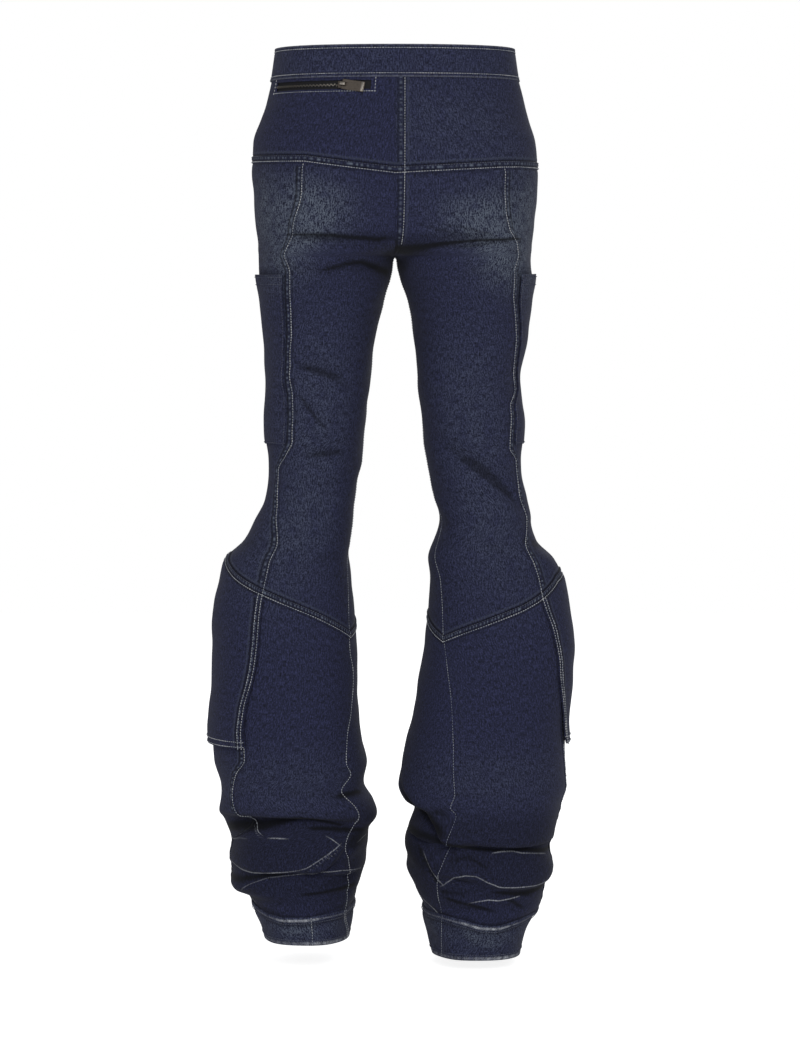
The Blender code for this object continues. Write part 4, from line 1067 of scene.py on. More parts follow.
APPLIED = {}
for leg in SIDES:
    APPLIED["pocket", leg] = make_applied(leg, "thigh_pocket", "upper_side", "pocket", POCKET_FROM,
                                          lambda up: POCKET_PROUD * up ** 4)
    APPLIED["flap", leg] = make_applied(leg, "calf_flap", "calf_side", "flap", 0.0,
                                        lambda up: FLAP_PROUD * (1 - up) ** 3)
print("pieces so far:", len(PIECES))

# %% [markdown]
# ## Hem, waistband and fly
# The hem is turned up double, so it is stiffer than the leg and stands out in a ring. The waistband
# is a straight band with its left end lapped over the right, and the fly's placket runs down from it
# on the left front.

# %% Hem bands
HEM_STEP = 2.1                # degrees
HEM_RISE = 0.9
HEM_ROLL, ROLL_AT = 1.3, 4.0  # the stitched top edge stands out in a narrow roll, below the very edge
HEM_DIP, DIP_AT = 0.5, 11.0   # and sinks in below its stitches
ROLL_WIDTH = 3.0              # of both
HEM_PUCKER, PUCKER_REACH = 0.35, 5.0   # waves along the very edge
DRAG = 96.0                   # angle of the back, where the top edge is rubbed most
TREAD = {"left": 58.0, "right": 120.0}     # angle where the lower edge is rubbed most


def make_hem(leg):
    """The hem band of one leg, a closed ring."""
    rows = row_marks(leg, "hem")
    angles = np.arange(0.0, 360.0, HEM_STEP)
    heights = np.stack([guide(leg, below, angles) * (1 - share) + guide(leg, above, angles) * share
                        for below, above, share in rows])
    angles = np.broadcast_to(angles, heights.shape)
    face = normal(leg, angles, heights)
    top = guide(leg, "hem_top", angles) - heights
    lift = HEM_RISE + HEM_ROLL * hump(top, ROLL_AT, ROLL_WIDTH) - HEM_DIP * hump(top, DIP_AT, ROLL_WIDTH)
    lift += HEM_PUCKER * hump(top, 0, PUCKER_REACH) * pucker(np.radians(angles) * 85.0)
    points = surface(leg, angles, heights) + lift[..., None] * face
    # Its back drags, so it is rubbed most there, and its lower edge where it treads on the floor.
    drag = 0.3 + 0.7 * np.exp(-((angles - DRAG) / 24.0) ** 4)
    tread = 0.35 + 0.65 * hump(angles, TREAD[leg], 26.0)
    low = heights - HEM_EDGE[leg]
    nearer = np.abs(top - ROLL_AT) < low + 6.0
    uneven = np.clip(0.68 + 0.4 * pucker(np.radians(angles) * 60.0), 0.2, 1.0)
    rubbed = np.stack([np.where(nearer, (top - ROLL_AT) / (0.9 + 0.9 * drag), (low - 2.5) / 2.4),
                       np.where(nearer, drag, tread) * uneven, 0 * top], axis=-1)
    wrapped = np.concatenate([points, points[:, :1]], axis=1)
    # The dip below the top stitches gets painted shade.
    facts = band_facts(wrapped, 0.12 + 0.42 * hump(top, 16, 12.0) * drag, 0.5 * hump(top, 10, 2.0), rubbed)
    points = inset(points, face, closed=True)
    PIECES[f"hem_band_{leg}"] = grid_mesh(f"denim_hem_band_{leg}", points, leg, facts, closed=True,
                                          wall=DOUBLE_WALL)


for leg in SIDES:
    make_hem(leg)
print("hem faces:", len(PIECES["hem_band_left"].data.polygons))

# %% Waistband and fly placket
LAP = 3.0                     # how far the overlapping end stands out
LAP_START, LAP_RAMP = 322.0, 22.0      # degrees
BAND_RISE = 0.8
WAIST_TOP = 1139.0
WAIST_BOTTOM = LEVELS["waist"] + SLIT / 2
EDGE_SEWN = 4.5               # from either edge to the stitches, which sink into the band


def waist_points(turns, heights, lift=0.0):
    """Points and normals of the waistband. Turns run clockwise from the middle of the front."""
    turns, heights = np.meshgrid(np.radians(turns), heights)
    centre, half_width, depth_centre, half_depth = section("left", heights)
    width = centre + half_width
    x = width * np.sin(turns) * (1 + SQUARENESS * np.cos(turns) ** 2)
    y = depth_centre + half_depth * np.cos(turns) * (1 + SQUARENESS * np.sin(turns) ** 2)
    face = np.stack([np.sin(turns) * half_depth, np.cos(turns) * width, 0 * x], axis=-1)
    face = face / np.linalg.norm(face, axis=-1, keepdims=True)
    ramp = np.clip((np.degrees(turns) - LAP_START) / LAP_RAMP, 0, 1)
    out = BAND_RISE + LAP * ramp * ramp * (3 - 2 * ramp) + lift
    return np.stack([x, y, heights], axis=-1) + np.asarray(out)[..., None] * face, face


turns = np.arange(-14.0, 358.1, 1.2)[::-1]
heights = np.concatenate([np.arange(WAIST_BOTTOM, WAIST_TOP, 1.9), [WAIST_TOP]])
from_edge = np.minimum(heights - WAIST_BOTTOM, WAIST_TOP - heights)[:, None]
roll = 0.5 * hump(from_edge, 1.5, 2.0) - 0.45 * hump(from_edge, EDGE_SEWN, 1.6)
puckers = 0.25 * pucker(turns * 2.2) * hump(from_edge, 0, 5)
points, face = waist_points(turns, heights, roll + puckers)
off_edge = from_edge + 0 * points[..., 0]
rubbed = np.stack([off_edge / 1.6, 0.2 + 0 * off_edge, 0 * off_edge], axis=-1)
# The stitch lines sink in and get painted shade.
facts = band_facts(points, 0.1 + 0 * off_edge, 0.3 * hump(off_edge, EDGE_SEWN, 1.5), rubbed)
PIECES["waistband"] = grid_mesh("denim_waistband", points, "right", facts, wall=DOUBLE_WALL)

Placket = namedtuple("Placket", "height width")
PLACKET = [Placket(*row) for row in (
    (951, 8), (955, 19), (963, 28), (975, 34), (990, 36), (1030, 36), (1065, 36), (1098.85, 36))]
PLACKET_PROUD = WALL + GAP
PLACKET_END = PLACKET[0].height


def placket_angles(heights, share):
    """Angles on the placket at a share of its width, 0 at the middle and 1 at its free edge."""
    width = read_rows(PLACKET, "width", heights)
    last = 360.0 - inner_angle("left", heights)
    return last - share * np.degrees(width / section("left", heights)[1])


tall = np.arange(PLACKET_END, LEVELS["waist"] - 0.1, 2.1)
shares = np.linspace(1, 0, 16)
heights = np.broadcast_to(tall[:, None], (len(tall), len(shares)))
angles = np.stack([placket_angles(tall, share) for share in shares], axis=1)
proud = PLACKET_PROUD + TURNED_EDGE * hump((1 - shares) * PLACKET[-1].width, 0, 3.0)
made = cloth("left", "upper_front", angles, heights, proud)
facts = wear_and_shade("left", made._replace(down_seam=made.down_seam * [1, 1, 0]), angles, heights)
PIECES["fly_placket"] = grid_mesh("denim_fly_placket", off_middle(made.points), "left", facts)
print("cloth pieces:", len(PIECES))

# %% [markdown]
# ## Denim
# Denim is a cotton twill. Its warp is dyed indigo on the outside only and its weft is white, so the
# face is a dark blue, flecked with white, that rubs paler. Uneven yarn, or slub, draws soft streaks
# down the leg. A real twill line is 0.6 mm wide, which is too fine to show from a few metres, so the
# flecks and streaks here are drawn at two to three times that size.

# %% Denim material
INDIGO = "#13151f"            # dyed warp
INDIGO_LIGHT = "#3e4268"      # warp with the weft showing between
FADED = "#687181"             # where the dye is half gone
RUBBED = "#d3d7de"            # bare cotton on a ridge
WEFT, WEFT_DARK = "#6f7688", "#4d5468"  # the side that faces in
DARK_DYE_AND_SHADE = "#08090d"              # the folded edge of a seam, never rubbed, and painted shade in grooves, dips and under folds
SLUB_WIDTH, SLUB_LENGTH = 1.5, 7.0
FLECK = 1.4
TICK_PITCH = {"down_seam": 6.4, "round_seam": 4.4}   # between the rubbed ticks along a band
TICK_DRIFT = 0.08             # how soon the ticks change, in cycles a mm
TICK_LAG, TICK_STRENGTH = 9.0, 2.6     # how far they drift, and how strong they get
# The dark tone is partly dye kept at a seam's folded edges and partly painted shade in its grooves.
SEAM_TONES = (("dark", 0.8, DARK_DYE_AND_SHADE), ("pale", 0.7, FADED))
FAR_SHARE = 0.3               # how pale the far ridge is beside the ticks
SHADE_DARKNESS = 0.92              # how dark the painted shade gets at its deepest
LINE_EDGE = 1.5               # in line widths, where a rubbed line ends

# Across a seam, from 5 mm on the plain side to 15 mm on the band's side.
SEAM_SPAN = (-5.0, 15.0)
# Where the seam is dark: its folded edges keep their dye, and the grooves beside them get painted shade.
SEAM_DARK = [(-5.0, 0), (-2.6, 0), (-0.9, 0.6), (0.2, 0.2), (1.6, 0.0), (2.8, 0.9), (4.4, 0.45),
             (6.0, 0.3), (7.8, 0.5), (9.7, 1.0), (11.2, 0.15), (15.0, 0)]
BEADS = [(-5.0, 0), (3.8, 0.0), (5.8, 1.0), (7.8, 0.0), (15.0, 0)]
FAR_RIDGE = [(-5.0, 0), (11.0, 0.0), (12.6, 1.0), (15.0, 0)]


def on_seam_scale(stops):
    """Distances from a seam turned into places on a colour ramp."""
    low, high = SEAM_SPAN
    return [((place - low) / (high - low), grey) for place, grey in stops]


def make_denim():
    """The dyed side: yarn, then fades, seams, painted shade and rubbed lines over it."""
    made, tree, shader = new_material("indigo stretch denim, washed", 0.9)
    shader.inputs["Specular IOR Level"].default_value = 0.25
    shader.inputs["Sheen Weight"].default_value = 0.06
    shader.inputs["Sheen Roughness"].default_value = 0.5

    # Yarn: long streaks and short flecks on the flat cloth, and large clouds for the wash.
    place = node(tree, "ShaderNodeUVMap", uv_map="cloth")
    yarn = node(tree, "ShaderNodeMapping",
                {"Vector": place, "Scale": (1000 / SLUB_WIDTH, 1000 / SLUB_LENGTH, 1)})
    slub = node(tree, "ShaderNodeTexNoise",
                {"Vector": yarn, "Scale": 1.0, "Detail": 2.0, "Roughness": 0.6})
    spots = node(tree, "ShaderNodeMapping", {"Vector": place, "Scale": (1000 / FLECK, 600 / FLECK, 1)})
    fleck = node(tree, "ShaderNodeTexNoise",
                 {"Vector": spots, "Scale": 1.0, "Detail": 1.0, "Roughness": 0.7})
    cloud = node(tree, "ShaderNodeTexNoise", {"Vector": place, "Scale": 60.0, "Detail": 3.0})
    both = node(tree, "ShaderNodeMath", {0: slub, 1: fleck}, operation="ADD")
    grain = multiply(tree, both, 0.5)
    flecks = node(tree, "ShaderNodeValToRGB", {0: grain}, stops=[(0.34, 0), (0.50, 0.40), (0.63, 1)])
    base = blend(tree, flecks, INDIGO, INDIGO_LIGHT)

    # Fading follows the patches, broken up by clouds and flecks.
    faded = node(tree, "ShaderNodeAttribute", attribute_name="fade").outputs["Fac"]
    clouded = node(tree, "ShaderNodeValToRGB", {0: cloud}, stops=[(0.32, 0.35), (0.5, 0.8), (0.68, 1)])
    speckled = node(tree, "ShaderNodeValToRGB", {0: grain}, stops=[(0.43, 0.0), (0.50, 0.6), (0.57, 1.9)])
    for part in (clouded, speckled):
        faded = multiply(tree, faded, part, use_clamp=True)
    colour = blend(tree, faded, base, FADED)

    # Seams: the folded edges are dark, partly kept dye and partly painted shade in the grooves, and the band
    # between them is rubbed in dots.
    shades = {"dark": [], "pale": []}
    for name, pitch in TICK_PITCH.items():
        facts = node(tree, "ShaderNodeAttribute", attribute_name=name)
        parts = node(tree, "ShaderNodeSeparateXYZ", {0: facts.outputs["Vector"]})
        across = node(tree, "ShaderNodeMapRange",
                      {"Value": parts.outputs[0], "From Min": SEAM_SPAN[0], "From Max": SEAM_SPAN[1]})
        drift = node(tree, "ShaderNodeTexNoise",
                     {"W": parts.outputs[1], "Scale": TICK_DRIFT, "Detail": 1.0}, noise_dimensions="1D")
        lag = multiply(tree, drift, TICK_LAG)
        strong = multiply(tree, drift, TICK_STRENGTH)
        phase = node(tree, "ShaderNodeMath", {0: parts.outputs[1], 1: 2 * math.pi / pitch, 2: lag},
                     operation="MULTIPLY_ADD")
        waves = node(tree, "ShaderNodeMath", {0: phase}, operation="SINE")
        ticks = node(tree, "ShaderNodeMapRange", {"Value": waves, "From Min": -0.2, "From Max": 1.0})
        beads = multiply(tree, ticks, strong)
        dark, dots, far = (node(tree, "ShaderNodeValToRGB", {0: across}, stops=on_seam_scale(stops))
                           for stops in (SEAM_DARK, BEADS, FAR_RIDGE))
        dots = multiply(tree, dots, beads)
        pale = node(tree, "ShaderNodeMath", {0: far, 1: FAR_SHARE, 2: dots}, operation="MULTIPLY_ADD")
        for tone, share in (("dark", dark), ("pale", pale)):
            shades[tone].append(multiply(tree, share, parts.outputs[2]))
    for tone, strength, tint in SEAM_TONES:
        stronger = node(tree, "ShaderNodeMath", dict(enumerate(shades[tone])), operation="MAXIMUM")
        colour = blend(tree, multiply(tree, stronger, strength), colour, tint)

    # Hollows, folds and troughs get painted shade. The lines along ridges lose their dye.
    hollow_shade = node(tree, "ShaderNodeAttribute", attribute_name="hollow_shade").outputs["Fac"]
    colour = blend(tree, multiply(tree, hollow_shade, SHADE_DARKNESS), colour, DARK_DYE_AND_SHADE)
    worn = node(tree, "ShaderNodeValToRGB", {0: grain}, stops=[(0.38, 0.15), (0.50, 0.75), (0.60, 1)])
    for name in ("rubbed", "rubbed_too"):
        facts = node(tree, "ShaderNodeAttribute", attribute_name=name)
        parts = node(tree, "ShaderNodeSeparateXYZ", {0: facts.outputs["Vector"]})
        off = node(tree, "ShaderNodeMath", {0: parts.outputs[0]}, operation="ABSOLUTE")
        near = node(tree, "ShaderNodeMapRange",
                    {"Value": off, "From Min": 0.0, "From Max": LINE_EDGE, "To Min": 1.0, "To Max": 0.0},
                    interpolation_type="SMOOTHSTEP")
        share = multiply(tree, multiply(tree, near, parts.outputs[1]), worn)
        colour = blend(tree, share, colour, RUBBED)
    tree.links.new(colour, shader.inputs["Base Color"])
    bump = node(tree, "ShaderNodeBump", {"Strength": 0.5, "Distance": 0.0006, "Height": grain})
    tree.links.new(bump.outputs[0], shader.inputs["Normal"])
    return made


def make_inside():
    """The weft side of the cloth, paler and plainer."""
    made, tree, shader = new_material("weft side of the denim", 0.95)
    place = node(tree, "ShaderNodeUVMap", uv_map="cloth")
    spots = node(tree, "ShaderNodeMapping", {"Vector": place, "Scale": (700, 700, 1)})
    fleck = node(tree, "ShaderNodeTexNoise", {"Vector": spots, "Scale": 1.0})
    flecks = node(tree, "ShaderNodeValToRGB", {0: fleck}, stops=[(0.35, 0), (0.65, 1)])
    tree.links.new(blend(tree, flecks, WEFT_DARK, WEFT), shader.inputs["Base Color"])
    return made


denim = make_denim()
inside = make_inside()
for piece in PIECES.values():
    piece.data.materials.append(denim)
    piece.data.materials.append(inside)
print("denim nodes:", len(denim.node_tree.nodes))

# %% [markdown]
# ## Topstitching
# Each stitch is a short length of thick cotton thread that lies on the cloth and dips in at both
# ends. Thousands of them follow the seams, so a Geometry Nodes tree places them: it takes plain
# lines, cuts them at the stitch's pitch, and puts one small thread on each point, turned along the
# line. Only the lines have to be worked out here.

# %% Lines for the stitches
THREAD = 1.15                 # topstitching thread, with its fuzz
THREAD_LIFT = THREAD * 0.3    # from the cloth to a thread's middle, as it sinks in
PITCH = 3.3
STITCH = 3.0
LINE_STEP = 1.6
ROUND_POINTS = 140            # on a line that runs round the leg
INNER_LINE, OUTER_LINE, YOKE_LINE = 1.6, 7.6, 8.2    # from a seam to its rows of stitches
FINE_LINE, CENTRE_LINE = 1.2, 9.6
SLOT_SIDES, SLOT_BELOW = (1.8, 1.6), 2.6     # degrees beside the zip's slot, and mm below it
KNOT = (4.0, 14.0)            # below and above the crotch, where no row is sewn


def down_line(leg, panel, seam_offset, low, high):
    """A line at a distance from a panel's first edge, between two guide lines."""
    heights = np.arange(guide(leg, low, COUNT_ANGLE) - 60, guide(leg, high, COUNT_ANGLE) + 60, LINE_STEP)
    first, _ = panel_angles(leg, panel, heights)
    angles = first + seam_offset * np.degrees(1.0 / radius(leg, heights))
    keep = (heights > guide(leg, low, angles) + 1) & (heights < guide(leg, high, angles) - 1)
    if panel == "upper_back":
        keep &= (heights < CROTCH - KNOT[0]) | (heights > CROTCH + KNOT[1])
    made = cloth(leg, panel, angles[keep], heights[keep], THREAD_LIFT)
    return placed(made.points, leg)


def round_line(leg, panel, name, offset):
    """A line at a height above or below a guide line, across a panel."""
    shares = np.linspace(0.0, 1.0, ROUND_POINTS)
    heights = np.full(len(shares), float(guide(leg, name, COUNT_ANGLE)) + offset)
    for _ in range(SETTLE):
        first, last = panel_angles(leg, panel, heights)
        angles = first + shares * (last - first)
        heights = guide(leg, name, angles) + offset
    made = cloth(leg, panel, angles, heights, THREAD_LIFT)
    return placed(off_middle(made.points), leg)


def applied_line(leg, which, column=None, row=None):
    """A line along a row or a column of an applied piece, or between two of them."""
    panel = {"pocket": "upper_side", "flap": "calf_side"}[which]
    axis, place = (1, column) if row is None else (0, row)
    count = APPLIED[which, leg][0].shape[axis]
    low, part = divmod(place % (count - 1), 1)
    low = int(low)
    angles, heights, proud = ((1 - part) * grid.take(low, axis) + part * grid.take(low + 1, axis)
                              for grid in APPLIED[which, leg])
    made = cloth(leg, panel, angles, heights, proud + TURNED_EDGE + THREAD_LIFT)
    return placed(made.points, leg)


BRIGHT, DULL, FINE = "bright", "dull", "fine"
LINES = {BRIGHT: [], DULL: [], FINE: []}
for leg in SIDES:
    for panel, low, high in (("upper_side", "knee", "yoke"), ("calf_side", "seam_hidden", "flap_end")):
        LINES[BRIGHT].append(down_line(leg, panel, INNER_LINE, low, high))
    LINES[FINE].append(down_line(leg, "upper_back", FINE_LINE, "knee", "crotch"))
    tone = BRIGHT if leg == "left" else FINE
    LINES[tone].append(down_line(leg, "calf_back", FINE_LINE, "hem_top", "knee"))
    for panel, low, high in (("upper_front", "knee", "waist"), ("calf_front", "hem_top", "knee")):
        LINES[BRIGHT] += [down_line(leg, panel, offset, low, high) for offset in (INNER_LINE, OUTER_LINE)]
    for panel, seam in (("upper_back", "knee"), ("upper_side", "knee"), ("upper_front", "knee"),
                        ("yoke", "yoke")):
        LINES[BRIGHT].append(round_line(leg, panel, seam, INNER_LINE))
        LINES[DULL].append(round_line(leg, panel, seam, YOKE_LINE))
    LINES[BRIGHT] += [applied_line(leg, "flap", column=column) for column in (0.4, 1.7, -0.4, -1.7)]
    LINES[BRIGHT] += [applied_line(leg, "flap", row=row) for row in (0.6, 2.6)]
    LINES[DULL] += [applied_line(leg, "pocket", column=column) for column in (0.6, -0.6)]
    LINES[DULL] += [applied_line(leg, "pocket", row=row) for row in (-1, -4, 0.6)]
LINES[BRIGHT].append(down_line("right", "upper_back", CENTRE_LINE, "crotch", "yoke"))
LINES[BRIGHT].append(down_line("right", "yoke", CENTRE_LINE, "yoke", "waist"))

# Three rows frame the zip's slot: one below it and one beside each end.
ends = (SLOT_FROM - SLOT_SIDES[0], SLOT_TO + SLOT_SIDES[1])
frame_level = LEVELS["zip_low"] - SLOT_BELOW
upright = np.arange(frame_level, LEVELS["waist"] - 1.0, LINE_STEP)
below_slot = np.linspace(*ends, 100)
for angles, heights in ([(below_slot, np.full(len(below_slot), frame_level))]
                        + [(np.full(len(upright), end), upright) for end in ends]):
    LINES[BRIGHT].append(placed(cloth("left", "yoke", angles, heights, THREAD_LIFT).points, "left"))
print("lines:", {tone: len(lines) for tone, lines in LINES.items()})

# %% More lines: hem, waistband and fly
round_angles = np.arange(0.0, 361.0, 1.0)
for leg in SIDES:
    for name, offset, lift in (("hem_edge", 7.0, HEM_RISE), ("hem_top", -8.0, HEM_RISE + 0.6)):
        levels = guide(leg, name, round_angles) + offset
        points = surface(leg, round_angles, levels)
        points += (lift + THREAD_LIFT) * normal(leg, round_angles, levels)
        LINES[DULL].append(placed(points, leg))
# Each band is closed over the inner leg with short rows, which lean as the inner seam does. The
# left one is also tacked at the back.
Closing = namedtuple("Closing", "leg tone upper lower")
CLOSINGS = [Closing("left", BRIGHT, 34.5, 19.5), Closing("left", BRIGHT, 38.0, 23.0),
            Closing("left", BRIGHT, 81.0, 81.5), Closing("right", FINE, 51.0, 40.0)]
for row in CLOSINGS:
    end = float(guide(row.leg, "hem_top", row.upper)) - 1.0
    heights = np.arange(HEM_EDGE[row.leg] + 2.0, end, LINE_STEP)
    angles = np.interp(heights, [heights[0], heights[-1]], [row.lower, row.upper])
    points = surface(row.leg, angles, heights) + (HEM_RISE + 0.8) * normal(row.leg, angles, heights)
    LINES[row.tone].append(placed(points, row.leg))
for height in (WAIST_BOTTOM + EDGE_SEWN, WAIST_TOP - EDGE_SEWN):
    points, _ = waist_points(np.arange(-12.0, 356.0, 1.0), [height], 0.1)
    LINES[BRIGHT].append(placed(points[0], "right"))
for inward in (2.5, 8.5):     # two rows along the placket's free edge
    heights = np.arange(PLACKET_END + inward, LEVELS["waist"] - 3.0, LINE_STEP)
    share = 1 - inward / read_rows(PLACKET, "width", heights)
    angles = placket_angles(heights, np.clip(share, 0.05, 1))
    made = cloth("left", "upper_front", angles, heights, PLACKET_PROUD + THREAD * 0.4)
    LINES[BRIGHT].append(placed(made.points, "left"))
total = sum(np.linalg.norm(np.diff(line, axis=0), axis=1).sum()
            for lines in LINES.values() for line in lines)
print("thread lines:", round(float(total), 1), "m, about", int(total / (PITCH * MM)), "stitches")


# %% The stitch tree
def line_object(name, lines):
    """An object that holds plain lines as edges, for a Geometry Nodes tree to work on."""
    points, edges = [], []
    for line in lines:
        edges += [(len(points) + i, len(points) + i + 1) for i in range(len(line) - 1)]
        points += line.tolist()
    mesh = bpy.data.meshes.new(name)
    mesh.from_pydata(points, edges, [])
    return add_object(name, mesh)


def tree_along_lines(name, inputs):
    """Start a tree that cuts plain lines at a pitch. Gives its inputs, its points and their turn."""
    tree = bpy.data.node_groups.new(name, "GeometryNodeTree")
    tree.interface.new_socket("Geometry", in_out="INPUT", socket_type="NodeSocketGeometry")
    for label, kind, value in inputs:
        socket = tree.interface.new_socket(label, in_out="INPUT", socket_type=f"NodeSocket{kind}")
        socket.default_value = value
    tree.interface.new_socket("Material", in_out="INPUT", socket_type="NodeSocketMaterial")
    tree.interface.new_socket("Geometry", in_out="OUTPUT", socket_type="NodeSocketGeometry")
    given = node(tree, "NodeGroupInput").outputs
    path = node(tree, "GeometryNodeMeshToCurve", {"Mesh": given["Geometry"]})
    cut = node(tree, "GeometryNodeResampleCurve", {"Curve": path.outputs[0], "Length": given["Pitch"]},
               mode="LENGTH")
    along = node(tree, "GeometryNodeInputTangent")
    turn = node(tree, "FunctionNodeAlignRotationToVector", {"Vector": along.outputs[0]}, axis="X")
    return tree, given, cut.outputs[0], turn.outputs[0]


def end_tree(tree, given, shape):
    """Give a tree's shape its material and hand it out."""
    finished = node(tree, "GeometryNodeSetMaterial",
                    {"Geometry": shape.outputs[0], "Material": given["Material"]})
    node(tree, "NodeGroupOutput", {"Geometry": finished.outputs[0]})
    return tree


def stitch_tree():
    """A small thread on each point, none quite as long as the next."""
    tree, given, points, turn = tree_along_lines("stitches along lines", [
        ("Pitch", "Float", PITCH * MM), ("Length", "Float", STITCH * MM), ("Thread", "Float", THREAD * MM)])
    size = node(tree, "ShaderNodeCombineXYZ",
                {"X": given["Length"], "Y": given["Thread"], "Z": given["Thread"]})
    bead = node(tree, "GeometryNodeMeshIcoSphere", {"Radius": 0.5, "Subdivisions": 1})
    uneven = node(tree, "FunctionNodeRandomValue", {2: 0.85, 3: 1.12, "Seed": 7}, data_type="FLOAT")
    each = node(tree, "ShaderNodeVectorMath", {0: size.outputs[0], "Scale": uneven.outputs[1]},
                operation="SCALE")
    threads = node(tree, "GeometryNodeInstanceOnPoints",
                   {"Points": points, "Instance": bead.outputs["Mesh"], "Rotation": turn,
                    "Scale": each.outputs[0]})
    real = node(tree, "GeometryNodeRealizeInstances", {"Geometry": threads.outputs[0]})
    smooth = node(tree, "GeometryNodeSetShadeSmooth", {"Geometry": real.outputs[0]})
    return end_tree(tree, given, smooth)


def grown(lines_object, tree, inputs):
    """Run a Geometry Nodes tree on an object and keep only the plain mesh it makes."""
    step = lines_object.modifiers.new("grow", "NODES")
    step.node_group = tree
    for socket in tree.interface.items_tree:
        if socket.in_out == "INPUT" and socket.name in inputs:
            step[socket.identifier] = inputs[socket.name]
    lines_object.update_tag()
    bpy.context.view_layer.update()
    seen_now = lines_object.evaluated_get(bpy.context.evaluated_depsgraph_get())
    mesh = bpy.data.meshes.new_from_object(seen_now)
    lines_object.modifiers.remove(step)
    lines_object.data = mesh
    return lines_object


Cotton = namedtuple("Cotton", "clean stained width")
COTTONS = {BRIGHT: Cotton("#cfd1d5", "#9aa0ab", THREAD), DULL: Cotton("#686c7c", "#444860", 0.95),
           FINE: Cotton("#babec6", "#7c8294", 0.8)}


def thread_material(name, clean, stained):
    """Cotton thread: matt, a little fuzzy, and greyer where the wash has stained it."""
    made, tree, shader = new_material(name, 0.85)
    spot = node(tree, "ShaderNodeTexCoord").outputs["Object"]
    stain = node(tree, "ShaderNodeTexNoise", {"Vector": spot, "Scale": 45.0, "Detail": 2.0})
    share = node(tree, "ShaderNodeValToRGB", {0: stain}, stops=[(0.38, 0), (0.66, 1)])
    tree.links.new(blend(tree, share, clean, stained), shader.inputs["Base Color"])
    return made


stitching = stitch_tree()
STITCHES = []
for tone, lines in LINES.items():
    cotton = COTTONS[tone]
    finish = thread_material(f"cotton thread, {tone}", cotton.clean, cotton.stained)
    made = grown(line_object(f"topstitching_{tone}", lines), stitching,
                 {"Material": finish, "Thread": cotton.width * MM})
    STITCHES.append(made)
    print(made.name, len(made.data.polygons), "faces")

# %% [markdown]
# ## The zip
# A metal zip is sewn behind a slot in the left yoke. Its chain is a row of small teeth clamped to a
# woven tape, alternately from above and below. A second tree sets the teeth along one line.

# %% Tape
ZIP_LEVEL = (LEVELS["zip_low"] + LEVELS["zip_high"]) / 2
TAPE_WALL = 0.9
BEHIND = -1.8 - 0.6           # the tape's face, behind the yoke's inner side

tape_angles = np.arange(SLOT_FROM - 3.0, SLOT_TO + 3.0, 0.8)
tape_heights = np.linspace(LEVELS["zip_low"] - 10.0, LEVELS["zip_high"] + 3.0, 14)
angles, heights = np.meshgrid(tape_angles, tape_heights)
face = normal("left", angles, heights)
points = surface("left", angles, heights) + BEHIND * face
facts = {"uv": flat_places(points)}
tape = grid_mesh("zip_tape_woven", points, "left", facts, wall=TAPE_WALL)
tape_finish, tree, shader = new_material("woven polyester tape, black", 0.8)
place = node(tree, "ShaderNodeUVMap", uv_map="cloth")
ribs = node(tree, "ShaderNodeTexWave", {"Vector": place, "Scale": 180.0, "Distortion": 0.4}).outputs["Fac"]
tree.links.new(blend(tree, ribs, "#0b0b0d", "#1c1c20"), shader.inputs["Base Color"])
weave = node(tree, "ShaderNodeBump", {"Strength": 0.5, "Distance": 0.0003, "Height": ribs})
tree.links.new(weave.outputs[0], shader.inputs["Normal"])
tape.data.materials.append(tape_finish)
print("tape faces:", len(tape.data.polygons))

# %% Teeth
TOOTH_PITCH = 2.3
TOOTH = (1.35, 3.4, 1.5)      # along, across and through the chain
TOOTH_SHIFT = 0.6             # up or down, by turns
TOOTH_LIFT = 0.9              # above the tape
SLIDER_ANGLE = 111.5
SLIDER_HALF = 6.5
FIRST_TOOTH = 1.5             # beyond the slider


def tooth_tree():
    """A tooth on each point, by turns a little above and below the line."""
    tree, given, points, turn = tree_along_lines("teeth along a line", [
        ("Pitch", "Float", TOOTH_PITCH * MM), ("Size", "Vector", [part * MM for part in TOOTH])])
    box = node(tree, "GeometryNodeMeshCube", {"Size": given["Size"]})
    count = node(tree, "GeometryNodeInputIndex")
    odd = node(tree, "ShaderNodeMath", {0: count.outputs[0], 1: 2.0}, operation="MODULO")
    shift = node(tree, "ShaderNodeMapRange",
                 {"Value": odd.outputs[0], "To Min": -TOOTH_SHIFT * MM, "To Max": TOOTH_SHIFT * MM})
    upward = node(tree, "ShaderNodeCombineXYZ", {"Z": shift.outputs[0]})
    apart = node(tree, "GeometryNodeSetPosition", {"Geometry": points, "Offset": upward.outputs[0]})
    teeth = node(tree, "GeometryNodeInstanceOnPoints",
                 {"Points": apart.outputs[0], "Instance": box.outputs["Mesh"], "Rotation": turn})
    return end_tree(tree, given, node(tree, "GeometryNodeRealizeInstances", {"Geometry": teeth.outputs[0]}))


def nickel_material(name, dark, pale):
    """Nickel plate: a grey metal with fine scratches that catch the light unevenly."""
    made, tree, shader = new_material(name)
    shader.inputs["Metallic"].default_value = 1.0
    spot = node(tree, "ShaderNodeTexCoord").outputs["Object"]
    scratch = node(tree, "ShaderNodeMapping", {"Vector": spot, "Scale": (300, 300, 3000)})
    marks = node(tree, "ShaderNodeTexNoise", {"Vector": scratch.outputs[0], "Scale": 1.0, "Detail": 2.0})
    tree.links.new(blend(tree, marks, dark, pale), shader.inputs["Base Color"])
    rough = node(tree, "ShaderNodeMapRange", {"Value": marks.outputs["Fac"], "To Min": 0.25, "To Max": 0.45})
    tree.links.new(rough.outputs[0], shader.inputs["Roughness"])
    return made


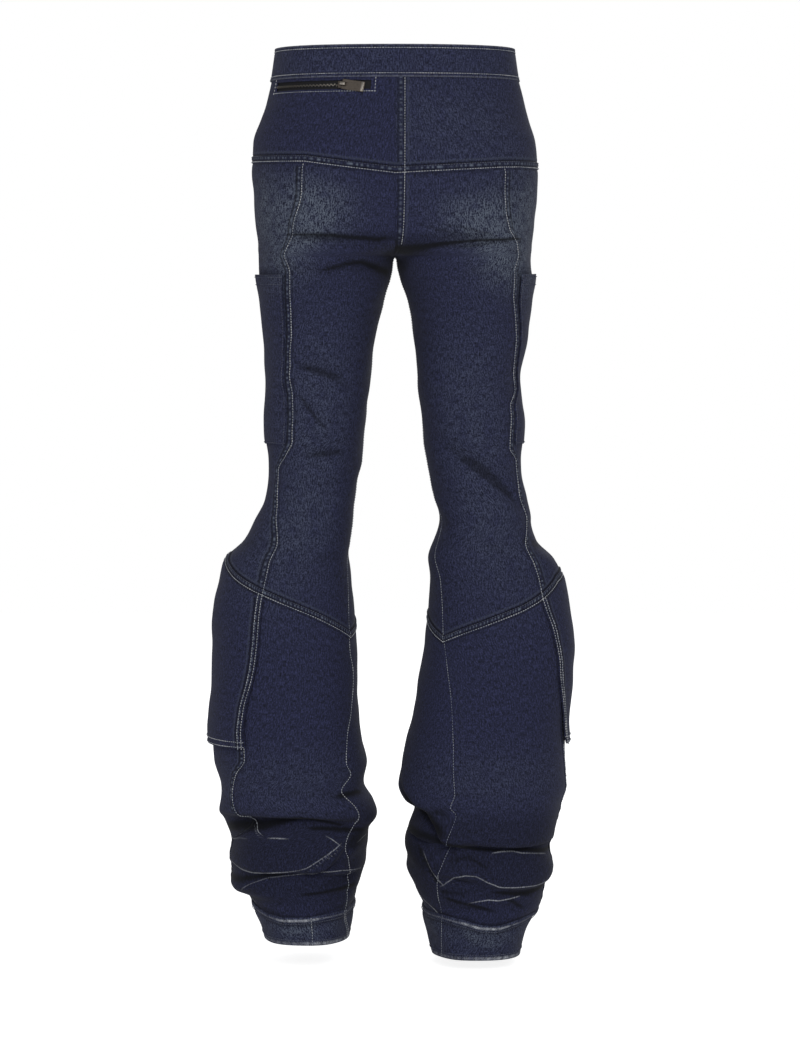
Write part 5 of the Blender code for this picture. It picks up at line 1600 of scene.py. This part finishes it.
nickel = nickel_material("dark nickel plate, brushed", "#3a3532", "#7d746b")
# Paler nickel for the teeth, the pull's lip and the slider's cap: partly worn bright, partly a painted
# highlight.
worn_highlit_nickel = nickel_material("nickel plate, worn bright, with painted highlight", "#77716a", "#b5aea4")
start = SLIDER_ANGLE + math.degrees((SLIDER_HALF + FIRST_TOOTH) / float(section("left", ZIP_LEVEL)[1]))
tooth_angles = np.arange(start, SLOT_TO, 0.5)
levels = np.full(len(tooth_angles), ZIP_LEVEL)
row = surface("left", tooth_angles, levels) + (BEHIND + TOOTH_LIFT) * normal("left", tooth_angles, levels)
teeth = grown(line_object("zip_teeth", [placed(row, "left")]), tooth_tree(), {"Material": worn_highlit_nickel})
print("teeth faces:", len(teeth.data.polygons))

# %% [markdown]
# ## Slider, pull and button
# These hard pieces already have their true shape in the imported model, so they stay, and get their
# finish. The pull also gets the raised lip that a finger catches, and the slider the round cap that
# closes its arch. Both are placed from the joint that the pull swings on.

# %% Finish the hard pieces
HARD = ("zip_slider", "zip_pull", "waist_button")
for name in HARD:
    hard = frame["nodes"][name]
    hard.data.materials.clear()
    hard.data.materials.append(nickel)
print("hard pieces:", len(HARD))

# %% The pull's lip and the slider's cap
swing = next(joint for joint in frame["record"]["behaviour"]["joints"] if joint["name"] == "pull_swing")
hinge = Vector(swing["pos_m"])
across = Vector(swing["axis"]).normalized()
low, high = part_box("zip_pull")
along = (low + high) / 2 - hinge
along = (along - along.dot(across) * across).normalized()
outward = along.cross(across)
if outward.y > 0:
    outward = -outward
PULL_FRAME = Matrix((along, across, outward)).transposed()


def rounded_block(name, centre, size, rim):
    """A block on the pull, in mm along, across and out from its hinge, with rounded edges."""
    half = [part / 2 for part in size]
    corners = [[centre[i] + sign[i] * half[i] for i in range(3)] for sign in
               ((x, y, z) for x in (-1, 1) for y in (-1, 1) for z in (-1, 1))]
    mesh = bpy.data.meshes.new(name)
    mesh.from_pydata([hinge + PULL_FRAME @ Vector(corner) * MM for corner in corners], [],
                     [(0, 1, 3, 2), (4, 6, 7, 5), (0, 4, 5, 1), (2, 3, 7, 6), (0, 2, 6, 4), (1, 5, 7, 3)])
    mesh.update()
    made = add_object(name, mesh)
    edge = made.modifiers.new("edge", "BEVEL")
    edge.width = rim * MM
    edge.segments = 3
    mesh.shade_smooth()
    return made


pull_lip = rounded_block("pull_lip", (24.6, 0.0, 1.05), (3.2, 12.2, 0.9), 0.35)
slider_cap = rounded_block("slider_cap", (0.0, 0.0, 2.75), (6.4, 3.6, 1.0), 0.4)
for piece in (pull_lip, slider_cap):
    piece.data.materials.append(worn_highlit_nickel)
print("lip and cap:", pull_lip.name, slider_cap.name)

# %% [markdown]
# ## Hang each piece on its body
# Every piece rides on the garment's body, but the pull's lip rides on the pull's tab. Each cloth
# piece stands for the plain solid it covers, and that solid is hidden, as is the zip's chain.

Cut = namedtuple("Cut", "width length area")
for name, piece in list(PIECES.items()) + [("zip_tape", tape)]:
    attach(piece, "garment")
    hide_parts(name)
for piece in STITCHES:
    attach(piece, "garment")
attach(pull_lip, "pull_tab")
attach(slider_cap, "garment")
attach(teeth, "garment")
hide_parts("zip_chain")
